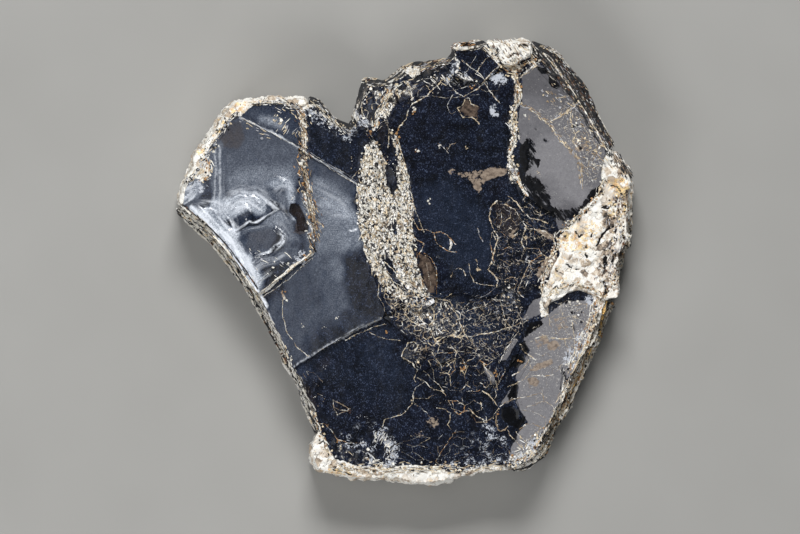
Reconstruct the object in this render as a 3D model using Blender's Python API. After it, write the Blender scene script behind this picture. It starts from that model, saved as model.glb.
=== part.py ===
"""A cleaved book of biotite mica that still carries feldspar on its edges, lying on its flat back.

The book is one crystal mass: a stack of thin sheets with a broken outline, edge walls that step
from sheet to sheet, and a front cleaved down to plates at different depths. Four lumps of the
feldspar that it grew in cling to its edges, each a solid of its own.

Lengths are in millimetres until mesh_object() turns them into metres. +Z is up, out of the front
face, and +Y points to the specimen's upper edge. The origin is under its middle, on the surface
that it lies on. Outlines run clockwise, seen from above.
"""

import math
import random

import bmesh
import bpy
from mathutils import Vector, geometry, noise

MM = 0.001
GAP = 0.35  # between the book and each lump of feldspar
EDGE_STEP = 2.9  # longest straight run in a lofted outline
RIM_STEP = 2.3
PLATE_STEP = 3.2  # longest straight run in the border of a plate
STEP_RUN = 0.12  # half the width that a step between two plates takes in plan
CUTTER_TOP = 30.0
BLANK_TOP = 23.0  # the uncut book reaches above every plate
BACK_INSET = 1.3  # the back face ends this far inside the widest outline
LEDGE = 0.25  # height that the step between two sheets takes
SHEET_TOPS = (1.5, 4.2, 5.6, 8.6, 9.7, 12.3, 14.9)  # ledges in the book's edge wall
WIDEST_AT = 3.0  # height at which the outline is widest
JAG = 0.8  # how far a sheet's broken edge wanders
JAG_LENGTH = 5.0
JAG_REST = 0.4  # share of the wander that every sheet is set back by, so that few overhang

# Open edges of the book: x, y and how far the front face's edge lies inside that point.
LOBE_TOP = [
    (-22.9, 39.5, 1.4), (-20.5, 39.1, 1.9), (-19.3, 37.8, 1.9), (-16.9, 35.2, 1.9),
    (-15.0, 34.0, 1.8), (-13.6, 33.2, 1.4),
]
NOTCH_SIDE = [
    (-13.1, 34.0, 1.2), (-12.8, 36.1, 1.2), (-12.1, 38.5, 1.3), (-10.9, 41.9, 1.4),
    (-10.0, 44.3, 1.5),
]
TOP_EDGE = [
    (-7.3, 44.3, 1.5), (-4.9, 44.0, 1.4), (-2.5, 45.7, 1.8), (-0.8, 47.5, 2.2),
    (2.3, 48.4, 2.4), (6.4, 49.1, 2.0), (9.7, 49.3, 1.5), (10.9, 50.0, 1.0),
    (10.7, 51.5, 1.0), (12.1, 52.9, 1.6), (15.5, 53.2, 2.0), (17.6, 53.6, 2.0),
    (19.3, 53.5, 1.2),
]
BAND_EDGE = [
    (30.4, 53.0, 0.3), (32.5, 52.4, 1.6), (34.4, 51.7, 3.2), (36.4, 50.6, 4.4),
    (37.8, 49.3, 4.8), (39.2, 47.6, 4.6), (41.4, 44.5, 4.2), (43.3, 42.1, 3.8),
    (44.8, 39.7, 3.2), (46.0, 37.1, 2.6), (46.9, 34.7, 2.2), (48.4, 31.3, 1.8),
    (49.6, 28.7, 1.3),
]
RIGHT_EDGE = [
    (49.6, -10.4, 1.6), (47.9, -13.8, 1.9), (46.9, -17.6, 2.0), (46.2, -20.5, 2.1),
    (43.8, -24.6, 2.0), (41.9, -28.7, 2.0), (39.5, -33.5, 2.0), (37.1, -38.3, 2.0),
    (35.4, -41.9, 1.9), (33.7, -45.5, 1.9), (32.3, -47.4, 1.9), (30.1, -49.3, 1.6),
    (28.0, -50.0, 1.4), (25.8, -50.2, 0.9),
]
LEFT_EDGE = [
    (-21.5, -39.7, 0.8), (-22.4, -38.0, 1.0), (-23.4, -36.8, 1.1), (-23.2, -35.6, 1.0),
    (-24.6, -33.0, 0.9), (-25.8, -30.1, 1.0), (-26.3, -28.2, 1.0), (-28.0, -26.5, 1.2),
    (-29.9, -23.9, 1.5), (-30.4, -21.5, 1.4), (-32.0, -18.1, 1.6), (-34.4, -14.3, 1.8),
    (-36.1, -10.9, 1.6), (-37.3, -8.3, 1.4), (-39.7, -4.4, 1.4), (-42.6, -0.6, 1.8),
    (-45.2, 2.3, 2.0), (-47.4, 5.2, 2.1), (-49.3, 7.6, 2.1), (-51.7, 9.5, 2.0),
    (-53.6, 11.4, 1.6), (-54.4, 12.8, 1.0),
]

# Where feldspar meets the book: upright walls, x and y.
LEFT_CONTACT = [
    (-53.4, 14.0), (-52.9, 17.4), (-51.7, 19.8), (-50.0, 22.2), (-48.4, 25.1), (-46.9, 27.7),
    (-45.2, 29.9), (-44.0, 32.3), (-42.1, 34.7), (-39.0, 35.9), (-37.1, 37.8), (-33.7, 38.3),
    (-30.1, 38.5), (-27.7, 37.6), (-25.8, 36.8), (-23.6, 38.0),
]
TOP_CONTACT = [
    (19.6, 52.7), (20.5, 51.0), (22.2, 49.6), (22.9, 48.1), (24.6, 47.0), (26.5, 47.2),
    (28.0, 48.6), (30.1, 49.3), (30.6, 51.0), (29.9, 52.7),
]
RIGHT_CONTACT = [
    (48.8, 27.0), (47.6, 25.1), (46.9, 22.2), (47.2, 18.8), (46.7, 16.0), (44.8, 14.8),
    (42.6, 13.1), (40.4, 9.7), (38.3, 7.6), (36.4, 5.6), (36.8, 3.5), (37.3, 2.0),
    (36.1, -0.1), (34.9, -2.0), (34.4, -4.2), (33.0, -5.9), (32.5, -8.8), (33.5, -11.2),
    (34.9, -9.5), (37.1, -8.8), (38.8, -7.3), (41.6, -6.6), (44.3, -7.6), (46.4, -8.3),
    (48.1, -9.0),
]
BOTTOM_CONTACT = [
    (24.6, -49.0), (21.5, -48.5), (18.4, -49.0), (15.5, -49.7), (12.6, -50.6), (10.7, -50.3),
    (9.0, -49.6), (3.5, -49.8), (-1.3, -49.6), (-6.1, -50.3), (-9.5, -49.3), (-13.3, -49.8),
    (-15.0, -49.3), (-16.9, -47.2), (-18.6, -44.5), (-19.3, -42.6), (-20.5, -40.9),
]

# Outer sides of the feldspar: x, y and how far its top edge lies inside that point.
LEFT_OUTER = [
    (-54.8, 13.8, 0.6), (-54.8, 16.0, 0.8), (-54.1, 18.4, 1.0), (-53.2, 21.2, 1.2),
    (-51.7, 24.6, 1.2), (-50.8, 27.0, 1.0), (-48.6, 29.4, 1.2), (-46.2, 33.0, 1.3),
    (-43.8, 36.6, 1.3), (-41.4, 38.8, 1.2), (-38.3, 39.4, 0.8), (-34.4, 39.8, 0.5),
    (-30.1, 40.2, 0.5), (-27.0, 39.5, 0.6), (-23.8, 39.6, 0.6),
]
TOP_OUTER = [
    (19.9, 53.8, 0.7), (22.0, 53.7, 1.0), (25.1, 53.6, 1.0), (28.2, 53.8, 1.0),
    (29.5, 53.4, 0.6),
]
RIGHT_OUTER = [
    (50.5, 27.1, 1.0), (52.2, 25.1, 1.2), (54.1, 22.8, 1.6), (54.9, 19.8, 1.6),
    (54.7, 15.0, 1.6), (54.6, 10.2, 1.6), (54.5, 5.9, 1.8), (52.9, 2.0, 1.8),
    (52.0, -2.8, 1.6), (51.2, -6.4, 1.4), (50.0, -9.0, 1.0),
]
BOTTOM_OUTER = [
    (24.7, -50.2, 0.4), (21.5, -50.2, 0.5), (18.1, -50.8, 0.6), (16.7, -51.7, 0.8),
    (12.6, -52.3, 0.8), (10.4, -53.2, 1.0), (5.9, -54.0, 1.2), (4.4, -53.3, 1.0),
    (1.1, -52.8, 1.0), (-2.5, -52.3, 1.0), (-7.3, -52.9, 1.0), (-13.3, -52.4, 1.0),
    (-16.9, -51.4, 1.0), (-21.7, -50.0, 1.0), (-22.7, -48.4, 1.0), (-23.5, -45.0, 1.0),
    (-22.8, -42.1, 0.8), (-21.7, -40.9, 0.4),
]

# The front's plates, from the deepest cleavage up: outline, height in its middle, the slopes
# along X and Y, and how rough it is. A later plate lies over an earlier one.
GROUND = 16.4
PLATES = {
    "lobe_shoulder": ([
        (-43.3, 42.6), (-39.7, 33.0), (-27.7, 24.6), (-15.7, 17.4), (-8.0, 15.0), (-8.5, 29.4),
        (-13.1, 30.6), (-13.1, 36.6), (-16.9, 43.8),
    ], 17.9, (0.0, 0.0), 0.0),
    "left_slope": ([
        (-28.9, 29.4), (-19.3, 23.2), (-11.6, 18.6), (-7.0, 12.6), (-3.2, 5.4), (-2.8, -6.6),
        (-5.2, -13.1), (-10.9, -15.5), (-18.1, -19.8), (-23.2, -23.2), (-27.5, -26.0),
        (-33.7, -29.4), (-44.5, -12.6), (-36.1, -4.2), (-28.9, 1.2), (-26.5, 15.0),
    ], 17.6, (0.035, 0.0), 0.0),
    "left_plate": ([
        (-39.0, 35.2), (-32.5, 31.3), (-25.8, 27.5), (-24.6, 23.4), (-24.4, 18.6),
        (-23.2, 13.8), (-22.4, 9.0), (-21.7, 5.4), (-22.4, 2.3), (-25.8, -0.6), (-28.9, -3.0),
        (-32.5, -5.6), (-35.6, -7.8), (-39.7, -11.4), (-58.5, 6.6), (-57.5, 36.6),
        (-43.3, 42.6),
    ], 18.8, (0.045, 0.0), 0.0),
    "notch_block": ([
        (-15.7, 48.6), (-1.6, 48.6), (-2.8, 43.8), (-4.2, 40.0), (-6.6, 36.1), (-8.0, 32.5),
        (-10.7, 31.6), (-13.3, 32.0), (-15.7, 35.4),
    ], 16.7, (0.02, -0.03), 0.15),
    "top_plates": ([
        (-3.8, 45.8), (-1.6, 52.0), (11.0, 52.0), (12.0, 44.0), (8.8, 42.4), (3.5, 39.5),
        (-1.3, 38.3), (-4.2, 40.0),
    ], 17.3, (0.03, 0.0), 0.12),
    "centre_plate": ([
        (-4.7, 38.4), (-1.3, 38.3), (3.5, 40.9), (8.8, 43.8), (13.6, 41.9), (22.7, 45.7),
        (44.3, 46.2), (51.1, 34.2), (48.7, 12.6), (40.1, 4.9), (38.1, -3.3), (34.5, -8.1),
        (22.7, -9.5), (8.3, -11.2), (2.5, -6.6), (-1.0, 6.6), (-4.0, 16.0), (-6.0, 24.6),
        (-4.7, 34.2),
    ], 18.0, (0.0, 0.0), 0.0),
    "tip_plate": ([
        (9.2, 48.1), (8.3, 55.4), (24.7, 56.5), (23.4, 47.2), (20.8, 44.8), (18.1, 43.1),
        (14.5, 43.8), (11.4, 44.8),
    ], 18.7, (0.0, 0.02), 0.0),
    "network_ground": ([
        (-5.2, -13.1), (-1.3, -10.9), (5.9, -9.0), (8.0, -8.6), (13.1, -7.4), (18.4, -8.6),
        (22.7, -7.6), (27.0, -5.2), (32.5, -5.5), (36.5, -10.2), (30.8, -16.2), (28.0, -19.8),
        (26.3, -23.4), (22.2, -29.4), (17.9, -26.3), (11.9, -22.9), (3.5, -26.3),
        (-0.8, -22.4), (1.1, -18.6),
    ], 17.2, (0.0, 0.0), 0.2),
    "upper_right_plate": ([
        (26.8, 45.2), (29.9, 47.2), (32.3, 49.1), (44.7, 56.4), (58.2, 34.2), (54.7, 19.0),
        (47.4, 16.0), (44.8, 15.0), (42.1, 12.8), (40.2, 10.0), (37.8, 9.7), (36.1, 12.1),
        (33.7, 12.4), (31.1, 14.3), (28.4, 16.0), (27.2, 18.8), (26.0, 22.7), (25.3, 26.5),
        (26.3, 29.9), (25.6, 33.7), (26.8, 38.0), (26.3, 41.9),
    ], 18.9, (-0.07, 0.0), 0.0),
    "lower_right_plate": ([
        (34.0, -11.4), (30.8, -16.2), (28.0, -19.8), (30.1, -23.9), (26.8, -28.7),
        (26.5, -32.5), (28.0, -37.8), (25.8, -42.8), (23.4, -46.4), (22.7, -55.4),
        (37.1, -56.2), (57.3, -16.2), (52.3, -4.6), (44.3, -5.1), (34.9, -7.0),
    ], 17.0, (-0.07, 0.0), 0.0),
    "crumbled_band": ([
        (-9.5, 28.9), (-6.6, 28.0), (-3.2, 22.7), (-1.3, 17.4), (0.6, 13.1), (1.3, 7.3),
        (2.0, 3.5), (3.5, -1.3), (5.4, -6.6), (7.3, -9.7), (3.5, -11.9), (-0.8, -10.4),
        (-4.2, -12.8), (-6.1, -9.0), (-7.8, -1.8), (-10.2, 3.0), (-11.6, 9.7), (-11.9, 15.0),
        (-10.9, 20.3), (-10.7, 24.6),
    ], 18.3, (0.0, 0.0), 0.45),
    "brown_flake": ([
        (2.5, 0.1), (4.7, 2.0), (6.1, 0.4), (7.1, -2.5), (7.6, -5.2), (7.3, -7.8), (5.4, -7.6),
        (4.4, -5.2), (3.5, -3.0),
    ], 18.5, (0.0, 0.02), 0.0),
    "plate_hole": ([
        (-27.5, 14.0), (-25.8, 13.8), (-24.8, 11.9), (-23.9, 9.7), (-23.4, 7.6), (-25.6, 7.6),
        (-26.3, 10.2), (-27.7, 12.1),
    ], 17.9, (0.0, 0.0), 0.0),
}
# Folds in the left plate: x, y, half length, half width, bearing in degrees and height.
SWELLS = [
    (-38.9, 14.4, 8.5, 2.6, 4, 0.75),
    (-41.8, 4.8, 9.0, 2.2, -52, 0.45),
    (-34.4, 7.2, 5.0, 3.6, 20, -0.8),
    (-30.2, 5.6, 5.0, 1.5, 62, 0.55),
    (-31.0, 16.6, 4.5, 2.2, -35, 0.35),
]
# Scattered points shape the front between the plates' borders.
OPEN_SPACING = 5.2  # between those on a smooth plate
ROUGH_SPACING = 2.3  # between those on a rough one
ROUGH_FROM = 0.1  # a plate rougher than this takes the closer points
SCATTER = 0.3  # how far a point strays from its even place, as a share of the spacing
PLATE_MARGIN = 0.9  # scattered points keep this far from a plate's border
CUTTER_BOX = (-60.0, 60.0, -58.0, 58.0)  # lowest and highest X, then Y, of what cleaves the front
BACK_CUTTER_LOW = -2.0

FELDSPAR_LIFT = 0.8  # the feldspar stops short of the surface that the book lies on
FELDSPAR_LEVELS = (0.0, 0.1, 0.24, 0.4, 0.55, 0.7, 0.86)  # shares of its height, up its side
FELDSPAR_GRAIN = 4.2  # size of the lumps on it
FELDSPAR_SIDE = 18.0  # height over which the lumps change up its side
FELDSPAR_SETBACK = 0.4  # share of the side's roughness that it is set back by, so that little juts
FOOT_INSET = 0.6  # how far its foot is rounded under, as a share of the top edge's inset
# Each lump's top height, its slopes along X and Y, the top's roughness and the side's.
LEFT_TOP = (17.9, 0.035, 0.0, 0.4, 0.9)
CAP_TOP = (18.3, 0.0, 0.0, 0.5, 1.2)
FLANK_TOP = (17.6, -0.1, 0.0, 0.9, 2.6)
BOTTOM_TOP = (15.9, 0.0, 0.0, 0.45, 1.9)

# Places on the back where a thin layer is missing: outline and depth.
BACK_LOSSES = [
    ([(-60.0, 30.0), (-44.0, 22.0), (-38.5, 25.0), (-30.0, 21.0), (-21.0, 27.5), (-24.0, 33.0),
      (-18.0, 45.0), (-60.0, 45.0)], 0.9),
    ([(60.0, -34.0), (38.0, -20.0), (31.0, -24.0), (24.0, -21.5), (17.5, -31.0), (21.0, -38.0),
      (12.0, -58.0), (60.0, -58.0)], 1.2),
    ([(2.0, 58.0), (5.0, 41.0), (14.0, 36.5), (21.0, 41.5), (29.0, 38.0), (60.0, 44.0),
      (60.0, 58.0)], 0.7),
]

MICA_COLOUR = (0.016, 0.017, 0.024, 1.0)
MICA_ROUGHNESS = 0.22
FELDSPAR_COLOUR = (0.74, 0.68, 0.56, 1.0)
FELDSPAR_ROUGHNESS = 0.75


def material(name, colour, roughness):
    made = bpy.data.materials.new(name)
    made.use_nodes = True
    shader = made.node_tree.nodes["Principled BSDF"]
    shader.inputs["Base Color"].default_value = colour
    shader.inputs["Roughness"].default_value = roughness
    shader.inputs["Metallic"].default_value = 0.0
    return made


def mesh_object(name, bm, finish=None):
    """An object of a bmesh drawn in millimetres."""
    bmesh.ops.triangulate(bm, faces=bm.faces)
    bmesh.ops.scale(bm, vec=(MM, MM, MM), verts=bm.verts)
    bmesh.ops.recalc_face_normals(bm, faces=bm.faces)
    if bm.calc_volume(signed=True) < 0:
        bmesh.ops.reverse_faces(bm, faces=bm.faces)
    mesh = bpy.data.meshes.new(name)
    bm.to_mesh(mesh)
    bm.free()
    made = bpy.data.objects.new(name, mesh)
    bpy.context.scene.collection.objects.link(made)
    if finish:
        mesh.materials.append(finish)
    return made


def wander(x, y, z, length, seed):
    """Smooth noise from -1 to 1 that changes over about the given length."""
    return noise.noise(Vector((x / length + 31.7 * seed, y / length, z / length + 5.3 * seed)))


def subdivided(points, longest, closed=True):
    """The points, with straight runs over the given length divided evenly."""
    runs = list(zip(points, points[1:] + points[:1])) if closed else list(zip(points, points[1:]))
    made = []
    for a, b in runs:
        parts = max(1, math.ceil(math.dist(a[:2], b[:2]) / longest))
        for i in range(parts):
            made.append(tuple(p + (q - p) * i / parts for p, q in zip(a, b)))
    return made if closed else made + [points[-1]]


def inward_normals(points, closed=True):
    """Unit vectors to the right of a clockwise line of points, which is into its outline."""
    count = len(points)
    made = []
    for i in range(count):
        before = points[i - 1] if closed or i else points[i]
        after = points[(i + 1) % count] if closed or i < count - 1 else points[i]
        along = Vector((after[0] - before[0], after[1] - before[1]))
        made.append(Vector((along.y, -along.x)).normalized())
    return made


def inside(x, y, outline):
    """True if the point lies in the closed outline."""
    found = False
    for (ax, ay), (bx, by) in zip(outline, outline[1:] + outline[:1]):
        if (ay > y) != (by > y) and x < ax + (y - ay) * (bx - ax) / (by - ay):
            found = not found
    return found


def middle(outline):
    return (
        sum(p[0] for p in outline) / len(outline),
        sum(p[1] for p in outline) / len(outline),
    )


def plate_at(x, y):
    """The name of the plate that lies on top at this point, or None on the deepest cleavage."""
    top = None
    for name, (outline, *_) in PLATES.items():
        if inside(x, y, outline):
            top = name
    return top


def swell_at(x, y):
    """How far the folds lift the left plate."""
    lift = 0.0
    for cx, cy, length, width, bearing, height in SWELLS:
        c = math.cos(math.radians(bearing))
        s = math.sin(math.radians(bearing))
        along = (x - cx) * c + (y - cy) * s
        across = -(x - cx) * s + (y - cy) * c
        lift += height * math.exp(-((along / length) ** 2) - (across / width) ** 2)
    return lift


def front_height(x, y):
    """Height of the cleaved front over this point."""
    name = plate_at(x, y)
    if name is None:
        return GROUND
    outline, height, slope, rough = PLATES[name]
    cx, cy = middle(outline)
    z = height + slope[0] * (x - cx) + slope[1] * (y - cy)
    if name == "left_plate":
        z += swell_at(x, y)
    return z + 2 * rough * wander(x, y, 0, ROUGH_SPACING, 3)


def cap(bm, ring, inner=()):
    """Close a level ring of vertices with triangles that also use the inner ones."""
    verts = [*ring, *inner]
    plan = [vert.co.to_2d() for vert in verts]
    edges = [(i, (i + 1) % len(ring)) for i in range(len(ring))]
    _, _, faces, *_ = geometry.delaunay_2d_cdt(plan, edges, [], 1, 1e-6)
    for face in faces:
        bm.faces.new([verts[i] for i in face])


def loft(rings, top_points=()):
    """A closed bmesh through level rings of equal length; its top cap also takes top_points."""
    bm = bmesh.new()
    layers = [[bm.verts.new(p) for p in ring] for ring in rings]
    count = len(layers[0])
    for low, high in zip(layers, layers[1:]):
        for i in range(count):
            j = (i + 1) % count
            bm.faces.new((low[i], low[j], high[j], high[i]))
    cap(bm, layers[0])
    cap(bm, layers[-1], [bm.verts.new(p) for p in top_points])
    return bm


def book_outline():
    """The book's widest outline, with 0 for the inset where feldspar meets it."""
    made = []
    for open_edge, contact in (
        ([], LEFT_CONTACT),
        (LOBE_TOP + NOTCH_SIDE + TOP_EDGE, TOP_CONTACT),
        (BAND_EDGE, RIGHT_CONTACT),
        (RIGHT_EDGE, BOTTOM_CONTACT),
        (LEFT_EDGE, []),
    ):
        made += open_edge + [(x, y, 0.0) for x, y in contact]
    return subdivided(made, EDGE_STEP)


def sheet_ring(outline, normals, z, share, seed):
    """One level ring of the edge wall: share is 0 at the widest outline and 1 at the front's."""
    ring = []
    for (x, y, inset), normal in zip(outline, normals):
        free = min(1.0, inset)  # nothing is broken off where feldspar holds the edge
        shift = inset * share + free * JAG * (JAG_REST + wander(x, y, 0, JAG_LENGTH, seed))
        if z < WIDEST_AT:
            shift += free * BACK_INSET * (1 - z / WIDEST_AT)
        ring.append((x + normal.x * shift, y + normal.y * shift, z))
    return ring


def book_blank():
    """The stack of sheets before its front is cleaved, as a closed bmesh."""
    outline = book_outline()
    normals = inward_normals(outline)
    bounds = [0.0, *SHEET_TOPS, BLANK_TOP]
    rings = []
    for seed, (low, high) in enumerate(zip(bounds, bounds[1:])):
        share = max(0.0, (low - WIDEST_AT) / (SHEET_TOPS[-1] - WIDEST_AT))
        rings.append(sheet_ring(outline, normals, low, share, seed))
        rings.append(sheet_ring(outline, normals, high - LEDGE, share, seed))
    return loft(rings)


def plate_borders():
    """Doubled borders of the plates: the points, and the pairs of them that edges join."""
    points, edges = [], []
    order = list(PLATES)
    for level, name in enumerate(order):
        outline = subdivided(PLATES[name][0], PLATE_STEP)
        normals = inward_normals(outline)
        for side in (-STEP_RUN, STEP_RUN):
            loop = [Vector((x + n.x * side, y + n.y * side)) for (x, y), n in zip(outline, normals)]
            shown = [order.index(plate_at(p.x, p.y) or order[0]) <= level for p in loop]
            first = len(points)
            points += loop
            for i in range(len(loop)):
                j = (i + 1) % len(loop)
                if shown[i] or shown[j]:
                    edges.append((first + i, first + j))
    used = sorted({i for edge in edges for i in edge})
    place = {old: new for new, old in enumerate(used)}
    return [points[i] for i in used], [(place[a], place[b]) for a, b in edges]


def scattered(borders):
    """Points over the front, closer together where it is rough, clear of the plates' borders."""
    low_x, high_x, low_y, high_y = CUTTER_BOX
    draw = random.Random(7)
    made = []
    for spacing, wanted_rough in ((OPEN_SPACING, False), (ROUGH_SPACING, True)):
        for row in range(int((high_y - low_y) / spacing)):
            for column in range(int((high_x - low_x) / spacing)):
                x = low_x + (column + 0.5 + SCATTER * draw.uniform(-1, 1)) * spacing
                y = low_y + (row + 0.5 + SCATTER * draw.uniform(-1, 1)) * spacing
                name = plate_at(x, y)
                rough = name is not None and PLATES[name][3] > ROUGH_FROM
                near = any((p - Vector((x, y))).length < PLATE_MARGIN for p in borders)
                if rough == wanted_rough and not near:
                    made.append(Vector((x, y)))
    return made


def front_cutter():
    """A solid whose underside is the cleaved front: what it covers has been split off."""
    low_x, high_x, low_y, high_y = CUTTER_BOX
    corners = [Vector((x, y)) for x, y in (
        (low_x, low_y), (high_x, low_y), (high_x, high_y), (low_x, high_y),
    )]
    borders, edges = plate_borders()
    points = corners + borders + scattered(borders)
    edges = [(0, 1), (1, 2), (2, 3), (3, 0)] + [(a + 4, b + 4) for a, b in edges]
    plan, _, faces, *_ = geometry.delaunay_2d_cdt(points, edges, [], 1, 1e-4)
    bm = bmesh.new()
    low = [bm.verts.new((p.x, p.y, front_height(p.x, p.y))) for p in plan]
    for face in faces:
        bm.faces.new([low[i] for i in face])
    rim = bmesh.ops.extrude_edge_only(bm, edges=[e for e in bm.edges if e.is_boundary])
    raised = [v for v in rim["geom"] if isinstance(v, bmesh.types.BMVert)]
    for vert in raised:
        vert.co.z = CUTTER_TOP
    bmesh.ops.contextual_create(bm, geom=[e for e in bm.edges if e.is_boundary])
    cutter = mesh_object("front_cutter", bm)
    cutter.hide_render = True
    cutter.display_type = "WIRE"
    return cutter


def back_cutter():
    """Upright blocks that reach up into the back as deep as the layers missing from it."""
    bm = bmesh.new()
    for outline, depth in BACK_LOSSES:
        low = [bm.verts.new((x, y, BACK_CUTTER_LOW)) for x, y in outline]
        high = [bm.verts.new((x, y, depth)) for x, y in outline]
        for i in range(len(outline)):
            j = (i + 1) % len(outline)
            bm.faces.new((low[i], low[j], high[j], high[i]))
        cap(bm, low)
        cap(bm, high)
    cutter = mesh_object("back_cutter", bm)
    cutter.hide_render = True
    cutter.display_type = "WIRE"
    return cutter


def make_book(finish):
    book = mesh_object("biotite_book", book_blank(), finish)
    for name, cutter in (("cleaved_front", front_cutter()), ("worn_back", back_cutter())):
        cut = book.modifiers.new(name, "BOOLEAN")
        cut.operation = "DIFFERENCE"
        cut.solver = "EXACT"
        cut.object = cutter
    return book


def feldspar_height(x, y, top, centre):
    height, slope_x, slope_y, rough, _ = top
    lumps = wander(x, y, 0, FELDSPAR_GRAIN, 11) + 0.5 * wander(x, y, 0, FELDSPAR_GRAIN / 2, 12)
    return height + slope_x * (x - centre[0]) + slope_y * (y - centre[1]) + rough * lumps


def make_feldspar(name, outer, contact, top, seed, finish):
    """A lump of feldspar: bulging on its outer side, upright where it meets the book."""
    normals = inward_normals(contact, closed=False)
    inner = [(x - n.x * GAP, y - n.y * GAP, 0.0) for (x, y), n in zip(contact, normals)]
    outline = subdivided(outer + inner[::-1], RIM_STEP)
    inwards = inward_normals(outline)
    centre = middle(outline)
    rings = []
    for level in FELDSPAR_LEVELS:
        ring = []
        for (x, y, inset), normal in zip(outline, inwards):
            lump = wander(x, y, FELDSPAR_SIDE * level, FELDSPAR_GRAIN, seed)
            hollow = max(0.0, FELDSPAR_SETBACK + lump)
            shift = min(1.0, inset) * top[4] * hollow + inset * level**2
            if level == 0.0:
                shift += FOOT_INSET * inset
            z = FELDSPAR_LIFT + level * (top[0] - FELDSPAR_LIFT)
            ring.append((x + normal.x * shift, y + normal.y * shift, z))
        rings.append(ring)
    crown = []
    for (x, y, inset), normal in zip(outline, inwards):
        px, py = x + normal.x * inset, y + normal.y * inset
        crown.append((px, py, feldspar_height(px, py, top, centre)))
    rings.append(crown)
    plan = [p[:2] for p in crown]
    lumps = [
        (x, y, feldspar_height(x, y, top, centre))
        for x, y in lattice(plan, ROUGH_SPACING)
        if inside(x, y, plan) and min(math.dist((x, y), p) for p in plan) > PLATE_MARGIN
    ]
    return mesh_object(name, loft(rings, lumps), finish)


def lattice(plan, spacing):
    """Staggered points over a plan outline's box."""
    low_x, high_x = min(p[0] for p in plan), max(p[0] for p in plan)
    low_y, high_y = min(p[1] for p in plan), max(p[1] for p in plan)
    for row in range(int((high_y - low_y) / spacing) + 1):
        for column in range(int((high_x - low_x) / spacing) + 1):
            yield low_x + (column + 0.5 * (row % 2)) * spacing, low_y + row * spacing


def clear_scene():
    for old in list(bpy.data.objects):
        bpy.data.objects.remove(old)


def main():
    clear_scene()
    mica = material("biotite", MICA_COLOUR, MICA_ROUGHNESS)
    feldspar = material("feldspar", FELDSPAR_COLOUR, FELDSPAR_ROUGHNESS)
    make_book(mica)
    make_feldspar("feldspar_left_rim", LEFT_OUTER, LEFT_CONTACT, LEFT_TOP, 21, feldspar)
    make_feldspar("feldspar_top_cap", TOP_OUTER, TOP_CONTACT, CAP_TOP, 22, feldspar)
    make_feldspar("feldspar_right_flank", RIGHT_OUTER, RIGHT_CONTACT, FLANK_TOP, 23, feldspar)
    make_feldspar("feldspar_bottom_rim", BOTTOM_OUTER, BOTTOM_CONTACT, BOTTOM_TOP, 24, feldspar)


main()
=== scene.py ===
"""The looks of the biotite book: its thin sheets, cleaved front, veins, crumbs and feldspar.

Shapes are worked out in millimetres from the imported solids, and turned into metres when a mesh is
made. Places on the front are pixels of the photograph, named for what they show; at() turns them
into millimetres. The camera looks straight down on the specimen, which lies on its back.
"""

import math
import random

import bmesh
import bpy
import numpy as np
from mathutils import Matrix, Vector, geometry, kdtree, noise
from mathutils.bvhtree import BVHTree


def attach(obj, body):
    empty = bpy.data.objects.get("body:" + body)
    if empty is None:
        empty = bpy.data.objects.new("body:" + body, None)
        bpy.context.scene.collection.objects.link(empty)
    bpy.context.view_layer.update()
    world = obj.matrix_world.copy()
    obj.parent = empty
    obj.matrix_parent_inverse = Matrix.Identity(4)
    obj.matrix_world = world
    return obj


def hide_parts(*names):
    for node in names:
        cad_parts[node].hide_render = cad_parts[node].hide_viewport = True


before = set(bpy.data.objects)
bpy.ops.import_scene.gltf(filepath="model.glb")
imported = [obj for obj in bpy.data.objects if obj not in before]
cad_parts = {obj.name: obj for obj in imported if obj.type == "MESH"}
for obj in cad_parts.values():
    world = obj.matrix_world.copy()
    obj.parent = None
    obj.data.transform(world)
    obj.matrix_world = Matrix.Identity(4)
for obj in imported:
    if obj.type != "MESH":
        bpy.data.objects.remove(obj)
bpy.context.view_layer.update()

MM = 0.001
PIXEL = 0.24  # millimetres of the specimen in one pixel of the photograph
ORIGIN_PX = (405.5, 262.5)  # the pixel over the frame's origin
UP = Vector((0, 0, 1))
SKY = 60.0  # rays are cast down from this height, above everything
SEEDS = {
    # of random draws
    "sheets": 11, "front": 5, "veins": 21, "crumbs": 31, "rubble": 41, "networks": 51,
    "network_cells": 60,
    # of noise; the numbered ones count on from here
    "marks": 3, "plates": 40, "strokes": 70, "ledges": 60, "pits": 90, "vein_lines": 300,
    "stones": 400, "broad_streaks": 500, "thin_streaks": 540, "vein_grains": 900,
    "layer_lines": 1200, "network_lines": 2000,
}


def at(px, py):
    """Millimetres in the frame for a pixel of the photograph."""
    return (px - ORIGIN_PX[0]) * PIXEL, (ORIGIN_PX[1] - py) * PIXEL


def line_at(pixels):
    return np.array([at(px, py) for px, py in pixels])


# ---------------------------------------------------------------- what the photograph shows

# Outlines and lines that several of the lists below use, in pixels.
SLIVER_A = [(514, 338), (509, 346), (502, 358), (500, 362), (507, 360), (513, 350), (519, 340)]
SLIVER_B = [(483, 364), (489, 370), (495, 377), (495, 385), (489, 380), (485, 372)]
SLIVER_C = [(515, 383), (509, 390), (502, 402), (499, 405), (508, 402), (513, 394)]
HOLLOW = [(289, 204), (297, 204), (303, 214), (309, 227), (305, 234), (295, 233), (296, 220),
          (289, 212)]
LONG_CRACK = [(240, 117), (252, 123), (270, 132), (285, 140), (299, 148)]
LONG_CRACK_EAST = [(300, 149), (312, 156), (330, 167), (345, 176), (357, 184)]
PLATE_LIP = [(258, 296), (270, 288), (285, 275), (300, 264), (313, 254)]
PLATE_LIP_UPPER = [(252, 287), (262, 279), (273, 269)]
LOWER_STEP = [(289, 370), (309, 356), (334, 343), (354, 331), (369, 324), (381, 318)]
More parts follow.
